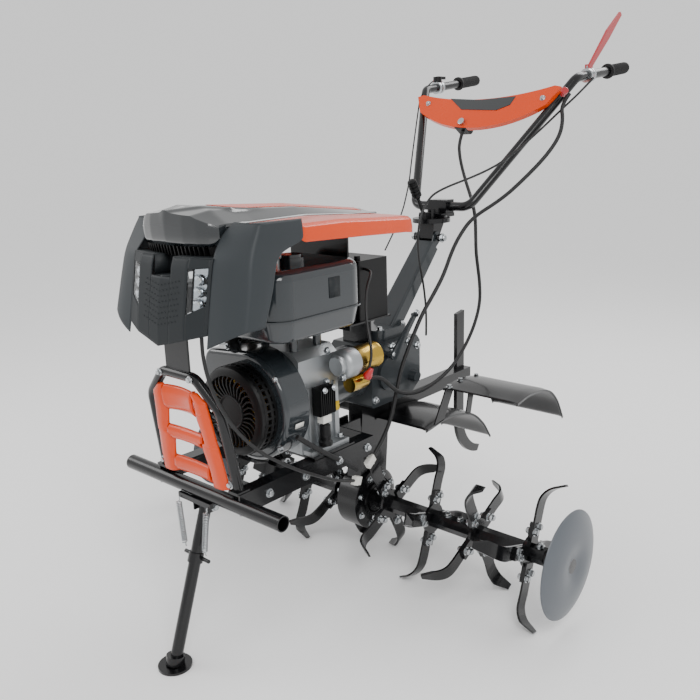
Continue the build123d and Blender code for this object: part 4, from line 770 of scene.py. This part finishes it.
def make_wings():
    """Wings: bulged front face, side up to the wheel arch's curve with rounded corner, and a strip on top."""
    rise = np.linspace(0, 1, 48)[:, None]
    across = np.linspace(0, 1, 22)[None]
    low = 642 + (150 + 102 * across - 100) * 67 / 152
    z = low + (WING_TOP - low) * rise
    inner_x, inner_y = np.interp(z, WING_Z, WING_IN_X), np.interp(z, WING_Z, WING_IN_Y)
    outer_x, outer_y = np.interp(z, WING_Z, WING_OUT_X), np.interp(z, WING_Z, WING_OUT_Y)
    bulge = 7 * np.sin(np.pi * across) * (1 - 0.6 * rise)
    front = sheet(inner_x + (outer_x - inner_x) * across, inner_y + (outer_y - inner_y) * across - bulge, z)
    rearward = np.linspace(0, 1, 26)[None, 1:]
    z = 709 + (WING_TOP - 709) * rise
    corner_x, corner_y = np.interp(z, WING_Z, WING_OUT_X), np.interp(z, WING_Z, WING_OUT_Y)
    rear_y = np.interp(z, ARCH_Z, ARCH_Y)
    flank = sheet(corner_x + 3 * np.sin(np.pi * rearward), corner_y + (rear_y - corner_y) * rearward, z)
    wall = smooth_grid(np.concatenate((front, flank), 1), 4)
    x = np.linspace(228, 140, 16)[:, None]
    rearward = np.linspace(0, 1, 30)[None]
    start = np.interp(x, (140, 228), (-599, -600))
    crest = sheet(x, start + (seam(x) - start) * rearward, np.interp(x, (108, 150, 232), (926, 931, 938)))
    for side, word in BOTH_SIDES:
        wing = add_panel("wing_" + word, [wall * (side, 1, 1), crest * (side, 1, 1)], "wing_grey", crease=50)
        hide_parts("hood_wing_" + word)


# Roof: half width and lower edge along the machine, and the shoulder's reach, sink and roll
ROOF_Y, ROOF_HALF, ROOF_LOW = table(((-575, 205, 908), (-472, 224, 896), (-466, 231, 882), (-250, 228, 873),
                                     (-50, 215, 862), (-20, 212, 858)))
SHOULDER_REACH, SHOULDER_SINK, SHOULDER_ROLL = table((
    (0, 0, 0), (0.4, 0, 0), (0.8, 1.0, 0), (0.93, 3, 0), (0.985, 11, 0), (1, 20, 0.35), (1.002, 0, 1)))
ROOF_WIDEST = 228.0


def make_roof():
    """Roof: flat across with rolled shoulders, from the slanting seam to its rear edge."""
    u = np.linspace(0, 1, 50)[None]
    v = np.linspace(0, 1, 60)[:, None]
    steps = np.linspace(0, 1, len(SHOULDER_REACH))
    reach = np.interp(u, steps, SHOULDER_REACH)
    sink = np.interp(u, steps, SHOULDER_SINK)
    roll = np.interp(u, steps, SHOULDER_ROLL)
    x = reach * ROOF_WIDEST
    y = np.where(x > 70, seam(x), -560.0) * (1 - v) + ROOF_Y[-1] * v
    high = np.interp(y, TOP_Y, TOP_EDGE) - 4.3
    z = (high - sink) * (1 - roll) + np.interp(y, ROOF_Y, ROOF_LOW) * roll
    half = smooth_grid(sheet(reach * np.interp(y, ROOF_Y, ROOF_HALF), y, z), 1)
    roof = add_panel("roof_panel", mirrored([half]), "orange_plastic", crease=50)
    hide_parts("hood_roof")


# Recoil starter's cage, on the engine's axis
ENGINE_Z, SHROUD_FRONT = 433.0, -476.0
CAGE_R, CAGE_FRONT = 122.0, -533.0
ENGINE_AXIS = (0, 1, 0)


def carried(path, across, over, corners):
    """Section corners carried along paths: point = path + across * first corner value + over * second."""
    corners = np.array(corners, float)
    return path[:, :, None] + across[:, :, None] * corners[:, :1] + over[:, :, None] * corners[:, 1:]


def make_cage():
    """Cage: hoops, rolled rim, hub, leaning spokes ahead and bars round the side."""
    hoop = [(CAGE_R - 6, 0), (CAGE_R, 0), (CAGE_R, 9), (CAGE_R - 6, 9), (CAGE_R - 6, 0)]
    hoop_at = [(0, y, ENGINE_Z) for y in (CAGE_FRONT + 14, CAGE_FRONT + 34, SHROUD_FRONT - 9)]
    turned("cage_rings", hoop, hoop_at, ENGINE_AXIS, "black_plastic", "chassis", 64)
    turned("cage_rim", [(CAGE_R, 16), (CAGE_R - 4, 6), (CAGE_R - 14, 0), (CAGE_R - 24, -1), (CAGE_R - 26, 3),
                        (CAGE_R - 12, 6), (CAGE_R - 6, 16), (CAGE_R, 16)],
           (0, CAGE_FRONT, ENGINE_Z), ENGINE_AXIS, "black_plastic", "chassis", 64)
    hub = turned("cage_hub", [(0, 4), (40, 4), (44, 1), (46, 1), (48, 5), (48, 14), (44, 14), (0, 12)],
                 (0, CAGE_FRONT, ENGINE_Z), ENGINE_AXIS, "black_plastic", "chassis", 48)
    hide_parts("recoil_starter")
    span = np.linspace(0, 1, 5)[None]
    turn = ring(32)[:, None] + 0.16 * np.sin(np.pi * span)
    reach = 46.0 + (CAGE_R - 22 - 46.0) * span
    path = sheet(np.cos(turn) * reach, CAGE_FRONT + 3, ENGINE_Z + np.sin(turn) * reach)
    tangent = sheet(-np.sin(turn), 0, np.cos(turn))
    rearward = np.broadcast_to((0.0, 1.0, 0.0), path.shape)
    spokes = carried(path, tangent, rearward, ((-2.2, 0), (2.2, 0), (2.2, 7), (-2.2, 7)))
    add_piece("cage_spokes", spokes, grid_faces(5, 4, 32, round_columns=True), "black_plastic", "chassis", 30)
    turn = ring(40)[:, None]
    deep = np.linspace(CAGE_FRONT + 12, SHROUD_FRONT, 4)[None]
    path = sheet(np.cos(turn) * (CAGE_R - 3), deep, ENGINE_Z + np.sin(turn) * (CAGE_R - 3))
    out = sheet(np.cos(turn), 0 * deep, np.sin(turn))
    bars = carried(path, np.cross(out, ENGINE_AXIS), out, ((-3, -2.5), (3, -2.5), (3, 2.5), (-3, 2.5)))
    faces = grid_faces(4, 4, 40, round_columns=True)
    add_piece("cage_side_bars", bars, faces, "black_plastic", "chassis", 30)


def make_fan():
    """Brassy fan behind the cage: a dished plate and swept upright blades."""
    turned("fan_plate", [(0, 26), (50, 26), (96, 30), (112, 36), (112, 40), (0, 40)],
           (0, CAGE_FRONT, ENGINE_Z), ENGINE_AXIS, "yellow_zinc", "chassis", 48)
    reach = np.linspace(60, 108, 4)[None]
    turn = ring(24)[:, None] + (reach - 60) * 0.006
    root = sheet(np.cos(turn) * reach, CAGE_FRONT + 26, ENGINE_Z + np.sin(turn) * reach)
    blades = np.stack((root, root - (0, 12, 0)), 2)
    add_piece("fan_blades", blades, grid_faces(4, 2, 24), "yellow_zinc", "chassis", 30)


STARTER_AT, SOLENOID_AT = (153.3, -222, 525), (159, -222, 463)


def make_starter():
    """Electric starter: zinc-yellow can, cast nose and solenoid with the lead's red boot."""
    can = turned("starter_can", [(0, 0), (38, 0), (38, 2), (37, 4), (37, 84), (38, 86), (38, 92), (30, 96),
                                 (30, 100), (12, 101), (0, 101)],
                 STARTER_AT, ENGINE_AXIS, "yellow_zinc", "chassis", 56)
    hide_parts("starter_motor")
    turned("starter_nose", [(0, -66), (24, -66), (28, -62), (28, -50), (36, -46), (42, -36), (42, -8),
                            (40, -6), (40, 0), (0, 0)],
           STARTER_AT, ENGINE_AXIS, "cast_aluminium", "chassis", 48)
    turned("starter_solenoid", [(0, -20), (22, -20), (22, 38), (20, 44), (14, 46), (0, 46)], SOLENOID_AT,
           ENGINE_AXIS, "yellow_zinc", "chassis", 40)
    turned("solenoid_cap", [(14, 45), (14, 58), (8, 60), (5, 60), (5, 70), (0, 70)], SOLENOID_AT, ENGINE_AXIS,
           "black_plastic", "chassis", 32)
    turned("lead_boot", [(4, -16), (6, -14), (9, -2), (12, 4), (13, 12), (10, 18), (0, 20)], (196, -200, 494),
           (-0.5, -0.25, -1), "red_lever", "chassis", 32)
    bolts("starter_bolts", [(128, -290, 566), (182, -290, 500), (122, -290, 478)], (0, -1, 0), 13)


RECTIFIER_AT, FIN_COUNT, FIN_PITCH = (122.0, -352.0, 398.0), 8, 7.6


def make_rectifier():
    """Rectifier with upright fins, its plug, and the oil switch's cylinder below."""
    x, y, z = RECTIFIER_AT
    fin_at = sheet(x, y + 1 + np.arange(FIN_COUNT) * FIN_PITCH, z)
    plan = np.array(((0, 0), (34, 0.6), (34, 2.8), (0, 3.4)))
    slab = sheet(plan[:, 0], plan[:, 1], np.array((0, 3, 75, 78))[:, None])
    slab[[0, 3], 1:3, 0] -= 6
    fins = capped(fin_at[:, None, None] + slab[None])
    faces = grid_faces(6, 4, FIN_COUNT, round_columns=True)
    rectifier = add_piece("rectifier_fins", fins, faces, "black_plastic", "chassis", 30)
    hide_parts("regulator")
    turned("oil_switch", [(0, 0), (19, 0), (19, 10), (15, 14), (15, 24), (16, 26), (15, 28), (15, 56),
                          (11, 60), (0, 60)],
           (142, -326, 312), (0, 0, 1), "black_plastic", "chassis", 36)
    plan = np.array(((128, -340), (150, -340), (150, -308), (128, -308)))
    plug = capped(sheet(plan[:, 0], plan[:, 1], np.array((376, 397))[:, None]))
    add_piece("rectifier_plug", plug, grid_faces(4, 4, round_columns=True), "white_nylon", "chassis", 30)
    bolts("rectifier_bolts", [(156, -336, 470), (156, -300, 470)], (1, 0, 0.2), 10)


# Bumper grille: half width by height on the bumper's leaning plane, and the windows' heights
GRILLE_H = np.array((9.5, 60, 170, 236, 258))
GRILLE_HALF = np.array((131, 127, 113, 104, 74.0))
GRILLE_LOW, GRILLE_HIGH, GRILLE_MIDDLE = 9.5, 258.0, 125.0
WINDOW_HEIGHTS = ((58, 104), (146, 188))
BAR_HEIGHTS = ((9.5, 58), (104, 146), (188, 258))
HOOP_LEAN = 0.148
HOOP_UP = unit((0, -HOOP_LEAN, 1))
HOOP_OUT = unit((0, -1, -HOOP_LEAN))
HOOP_ROOT = np.array((0.0, -640.0, 289.0))


def on_hoop(x, height, ahead):
    """Places on the bumper's leaning plane: across, up along it and ahead of it."""
    x, height, ahead = np.broadcast_arrays(x, height, ahead)
    return HOOP_ROOT + x[..., None] * (1, 0, 0) + height[..., None] * HOOP_UP + ahead[..., None] * HOOP_OUT


def window_half(height):
    """Half width of the windows at a height, straight from each one's wide low edge to its narrow top."""
    halves = [68 - 12 * np.clip((height - low) / (high - low), 0, 1) for low, high in WINDOW_HEIGHTS]
    return np.where(height < GRILLE_MIDDLE, *halves)


def make_grille():
    """Bumper grille: two tapered posts and three bars with crowned faces, joined round the windows."""
    across = np.linspace(0, 1, 17)[None]
    height = np.linspace(GRILLE_LOW, GRILLE_HIGH, 90)[:, None]
    inside = window_half(height)
    outside = np.interp(height, GRILLE_H, GRILLE_HALF)
    crown = 14 + 14 * (1 - np.abs(2 * across - 1) ** 3.0)
    post = on_hoop(inside + (outside - inside) * across, height, crown - 4 * (height / GRILLE_HIGH) ** 2)
    bars = []
    for low, high in BAR_HEIGHTS:
        up = np.linspace(0, 1, 15)[:, None]
        level = low + (high - low) * up
        share = np.linspace(-1, 1, 25)[None]
        hollow = 8 * (1 - np.abs(share) ** 2) * (0.4 + 0.6 * (low > 150))
        crown = 14 + 12 * (1 - np.abs(2 * up - 1) ** 3.0)
        bars.append(on_hoop(window_half(level) * share, level, crown - hollow))
    grille = add_panel("grille_face", [post, post * (-1, 1, 1), *bars], "orange_plastic", wall=9.0,
                       inside=np.array((0, -500.0, 400.0)), crease=60)
    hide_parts("bumper_grille")


def make_discs():
    """End discs: pressed dish with a rolled edge and a centre dimple, on their stub tubes."""
    for side, word in BOTH_SIDES:
        dish = [(0, 10), (16, 11), (34, 16), (56, 21), (80, 21), (112, 16), (142, 5), (150, 1), (151, -1),
                (149, -3), (140, 1), (110, 12), (80, 17), (56, 17), (30, 11), (0, 6)]
        disc = turned("disc_" + word, dish, (side * 704, 0, 0), (side, 0, 0), "disc_grey", "rotor", 96, 30)
        turned("disc_stub_" + word, [(0, 640.3), (20, 640.3), (20, 712), (24, 716), (0, 717)], (0, 0, 0),
               (side, 0, 0), "black_enamel", "rotor", 40)
        if side > 0:
            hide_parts("end_discs")


# Blades: each flange's place across, whether its first blade lies outwards, and its first blade's turn
FLANGES = ((101.0, True, 22.5), (264.0, False, 67.5), (422.0, False, 22.5), (588.0, True, 67.5))
TIP_LAG = 4.8
BLADE_BOLTS = ((58, -9), (72, 9))


def make_rotor_bolts():
    """Two bolts through each blade and flange, with heads ahead and nuts behind, and the hex tube's bolts."""
    heads, ways, nuts, nut_ways = [], [], [], []
    for flange_x, first_outwards, first_turn in FLANGES:
        for index in range(4):
            turn = radians(first_turn + TIP_LAG - 90 + 90 * index)
            way = 1 if (index % 2 == 0) == first_outwards else -1
            for reach, off in BLADE_BOLTS:
                y = -sin(turn) * reach + cos(turn) * off
                z = cos(turn) * reach + sin(turn) * off
                for side in (1, -1):
                    heads.append((side * (flange_x + way * 10), y, z))
                    ways.append((side * way, 0, 0))
                    nuts.append((side * (flange_x - way * 4), y, z))
                    nut_ways.append((-side * way, 0, 0))
    bolts("blade_bolts", heads, ways, 15, body="rotor")
    bolts("blade_nuts", nuts, nut_ways, 15, body="rotor")
    tube_bolts = [(side * x, 0, 23) for x in (80, 320, 362, 620) for side in (1, -1)]
    bolts("hex_tube_bolts", tube_bolts, (0, 0, 1), 14, body="rotor")


def make_hub():
    """Hub of the drive leg: stepped rings and a circle of bolts on each side."""
    for side, word in BOTH_SIDES:
        steps = [(98, 30), (98, 38), (90, 42), (72, 42), (70, 38), (56, 38), (54, 44), (40, 44), (38, 41),
                 (26, 41), (26, 30)]
        turned("hub_rings_" + word, steps, (0, 0, 0), (side, 0, 0), "black_enamel", "chassis", 72)
        turn = radians(22.5) + ring(8)
        bolts("hub_bolts_" + word, sheet(side * 42.0, np.cos(turn) * 82, np.sin(turn) * 82), (side, 0, 0), 13)


def make_frame_bolts():
    """Bolts of the bumper, frame, engine, gearbox, column, stand and shroud."""
    hoop_x, hoop_height = table(((-60, 289), (60, 289), (-134, 24), (134, 24)))
    bolts("bumper_bolts", on_hoop(hoop_x, hoop_height, 13.0), HOOP_OUT, 12)
    bolts("rail_bolts", [(164, y, 262) for y in (-560, -430, -300, -180)], (1, 0, 0), 15)
    bolts("case_foot_bolts", [(135, y, 315) for y in (-370, -260)], (0, 0, 1), 14)
    gearbox = ((-40, 480), (40, 500), (120, 500), (165, 478), (165, 380), (-45, 350))
    bolts("gearbox_bolts", [(86, y, z) for y, z in gearbox], (1, 0, 0), 15)
    bolts("shift_arm_bolts", [(110, 8, 487), (110, 132, 592)], (1, 0, 0), 13)
    bolts("column_bolts", [(52, 351, 793.5), (-52, 351, 793.5)], [(1, 0, 0), (-1, 0, 0)], 19)
    bolts("column_foot_bolts", [(side * 44, y, 547) for side in (1, -1) for y in (34, 142)], (0, 0, 1), 15)
    bolts("stand_pivot_bolts", [(34, -633, 213), (-34, -633, 213)], [(1, 0, 0), (-1, 0, 0)], 14)
    bolts("shroud_bolts", [(x, -478, z) for x, z in ((120, 530), (128, 345), (-60, 590))], (0, -1, 0), 11)


def make_stand_springs():
    """Stand's springs: closed coils with a hook at each end."""
    for side, word in BOTH_SIDES:
        top, foot = np.array((side * 56.0, -677.3, 232.0)), np.array((side * 41.0, -681.0, 96.0))
        turns = coil(top - (0, 0, 14), foot + (0, 0, 14), 6.5, 24, 10)
        hook_top = [top + (0, 4, 0), top + (0, 2, -4), top + (0, 3, -10)]
        hook_foot = [foot + (0, 3, 10), foot + (0, 2, 4), foot + (0, 4, 0)]
        spring = tube("stand_spring_" + word, np.concatenate((hook_top, turns, hook_foot)), 1.5, "zinc_wire",
                      "stand", 8, (1.0, 0.0, 0.0))
        if side > 0:
            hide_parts("stand_springs")


# Grips: from the bar's bend to its tip, the ribs' spacing and depth, and the perches' place along the bar
BAR_BEND = np.array((302.0, 754.0, 1285.0))
BAR_TIP = np.array((310.0, 1108.0, 1330.0))
GRIP_AXIS = unit(BAR_TIP - BAR_BEND)
RIB_PITCH, RIB_DEPTH = 6.0, 0.8
PERCH_AT = BAR_BEND + GRIP_AXIS * 82


def make_grips():
    """Grips: sleeves whose radius waves along them, with a flange and a closed end."""
    along = np.linspace(0, 118, 119)
    ribs = np.stack((19.2 + RIB_DEPTH * np.cos(along * 2 * np.pi / RIB_PITCH), 14 + along), -1)
    flange = [(15.4, -1), (25, -1), (25.5, 3), (25, 7), (20, 9)]
    profile = np.concatenate((flange, ribs, [(19, 136), (15, 142), (0, 143)]))
    for side, word in BOTH_SIDES:
        root, axis = (BAR_TIP - GRIP_AXIS * 134) * (side, 1, 1), GRIP_AXIS * (side, 1, 1)
        grip = turned("grip_" + word, profile, root, axis, "grip_rubber", "handlebar", 40)
        if side > 0:
            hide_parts("grips")


def make_bar_controls():
    """Perches of the clutch lever and throttle with their bolts, the stop button and the throttle's thumb."""
    for side, word in ((1, "clutch"), (-1, "throttle")):
        clamp = [(15.2, -17), (22, -17), (23, -15), (23, -4), (21, -3), (21, 3), (23, 4), (23, 15), (22, 17),
                 (15.2, 17)]
        turned(word + "_perch", clamp, PERCH_AT * (side, 1, 1), GRIP_AXIS * (side, 1, 1), "zinc_wire",
               "handlebar", 40)
    bolts("perch_bolts", [PERCH_AT + (0, -6, 24), PERCH_AT + (23, 0, 4), PERCH_AT * (-1, 1, 1) + (0, -6, 24)],
          (0, -0.2, 1), 9, body="handlebar")
    turned("stop_button", [(0, 30), (9, 30), (12, 27), (12, 20), (8, 18), (8, 0)], (300, 668, 1230),
           (0.5, -0.6, 0.4), "red_lever", "handlebar", 32)
    turned("throttle_thumb", [(0, -12), (16, -12), (17, -8), (17, 8), (16, 12), (0, 12)], (-306, 834, 1312),
           (0, 0, 1), "red_lever", "handlebar", 32)


KNOB_LOW, KNOB_HIGH = np.array((0.0, 288.0, 931.0)), np.array((0.0, 262.0, 975.0))


def make_lock_knob():
    """Lock lever's knob: seven ribs with grooves between them."""
    rows = [(0, -8), (9, -8), (11, -4)]
    for start in range(0, 56, 8):
        rows += [(15.5, start), (15.5, start + 4), (12.5, start + 5), (12.5, start + 7)]
    turned("lock_lever_knob", [*rows, (14, 56), (8, 60), (0, 60)], KNOB_LOW, KNOB_HIGH - KNOB_LOW,
           "black_plastic", "head", 32)


# Handlebar's panel: its root, its upward and outward directions, and the shield's outline on it
PANEL_ROOT = np.array((0.0, 607.0, 1139.0))
PANEL_UP, PANEL_OUT = unit((0, 70, 109)), unit((0, -109, 70))
SHIELD = np.array(((-134, 131), (-11, 117), (130, 122), (119, 88), (72, 68), (-73, 80)), float) * (1, 0.93)
SHIELD_SIZE, SHIELD_LIFT = table(((0.0, 0.3), (1.0, 0.3), (0.985, 2.2), (0.0, 2.6)))


def make_panel():
    """Panel's dark shield, screws and key barrel; the shield's faces are its outline shrunk to its middle."""
    middle = SHIELD.mean(0)
    outline = middle + (SHIELD - middle) * SHIELD_SIZE[:, None, None]
    shield = (PANEL_ROOT + outline[..., :1] * (1.0, 0, 0) + outline[..., 1:] * PANEL_UP
              + PANEL_OUT * SHIELD_LIFT[:, None, None])
    add_piece("panel_shield", shield, grid_faces(4, 6, round_columns=True), "top_plate_grey", "handlebar", 20)
    bolts("panel_screws", [PANEL_ROOT + (x, 0, 0) + up * PANEL_UP for x, up in ((-226, 108), (233, 100))],
          PANEL_OUT, 12, body="handlebar")
    turned("key_barrel", [(0, -4), (11, -4), (12, 0), (12, 10), (9, 11), (0, 11)],
           PANEL_ROOT + PANEL_UP * 22 + (-50.0, 0, 0) + PANEL_OUT, PANEL_OUT, "zinc_wire", "handlebar", 32)


# Fenders: each sheet's line rearwards and upwards and its span across, the raised sheet's straps and bolts
FENDER_SHEETS = ((((20, 268), (140, 278), (262, 256), (338, 204), (390, 138)), 28.3, 226),
                 (((112, 376), (200, 386), (300, 370), (362, 325), (408, 253)), 222, 475))
STRAPS = np.array((((62, 268), (112, 272), (178, 382), (128, 376)),
                   ((236, 258), (262, 252), (292, 368), (262, 374))), float)
STRAP_X = np.array((222.0, 226.0))
FENDER_BOLTS = ((120, 378), (180, 384), (270, 376))


def curve_through(points, count):
    """Smooth curve through points: each step is a cubic whose slopes are half the neighbours' difference."""
    points = np.asarray(points, float)
    padded = np.vstack((2 * points[0] - points[1], points, 2 * points[-1] - points[-2]))
    place = np.linspace(0, len(points) - 1 - 1e-9, count)
    step = place.astype(int)
    t = (place - step)[:, None]
    a, b, c, d = (padded[step + k] for k in range(4))
    return 0.5 * (2 * b + (c - a) * t + (2 * a - 5 * b + 4 * c - d) * t**2 + (3 * b - a - 3 * c + d) * t**3)


def make_fenders():
    """Fenders: curved sheets with a turned-down edge on each side, the outer one raised on two straps."""
    share = np.array((0, 0, *np.linspace(0, 1, 12)[1:-1], 1, 1))
    dip = np.array((10, 3, *np.zeros(10), 3, 10))
    for side, word in BOTH_SIDES:
        sheets = []
        for route, start_x, end_x in FENDER_SHEETS:
            line = curve_through(route, 44)
            fall = unit(np.gradient(line, axis=0))[:, ::-1] * (1, -1)
            section = line[:, None] + fall[:, None] * dip[None, :, None]
            x = side * (start_x + (end_x - start_x) * share)
            sheets.append(sheet(x, section[..., 0], section[..., 1]))
        fender = add_panel("fender_sheets_" + word, sheets, "black_enamel", wall=2.5,
                           inside=np.array((0, 100.0, 0)), crease=50)
        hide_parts("fender_" + word)
        straps = capped(sheet(side * STRAP_X[None, :, None], STRAPS[:, None, :, 0], STRAPS[:, None, :, 1]))
        add_piece("fender_straps_" + word, straps, grid_faces(4, 4, 2, round_columns=True), "black_enamel",
                  "chassis", 20)
        bolts("fender_bolts_" + word, [(side * 240, y, z) for y, z in FENDER_BOLTS], (0, 0, 1), 13)


# Blank tags: place, size and facing of each, and its finish
TAGS = (
    ("crankcase", (124.0, -268.0, 402.0), (34, 26), (1, -0.25, 0.1), "yellow_tag"),
    ("shroud", (151.5, -430.0, 400.0), (30, 14), (1, 0, -0.25), "white_nylon"),
    ("tank", (199.5, -330.0, 752.0), (40, 52), (1, 0, 0), "hood_grey"),
)


def make_tags():
    """Bare tags: flat rectangles facing outwards, level along their lower edge."""
    ends = np.array((-0.5, 0.5))
    for word, middle, (wide, tall), facing, material in TAGS:
        level = unit(np.cross((0, 0, 1), unit(facing)))
        over = np.cross(unit(facing), level)
        face = middle + level * (wide * ends)[None, :, None] + over * (tall * ends)[:, None, None]
        add_panel("tag_" + word, [face], material, wall=0.8, inside=np.array((0, -300.0, 400.0)))


make_nose()
make_dashes()
make_headlamps()
make_top_plate()
make_strip()
make_intake()
make_wings()
make_roof()
make_cage()
make_fan()
make_starter()
make_rectifier()
make_grille()
make_discs()
make_rotor_bolts()
make_hub()
make_frame_bolts()
make_stand_springs()
make_grips()
make_bar_controls()
make_lock_knob()
make_panel()
make_fenders()
make_tags()
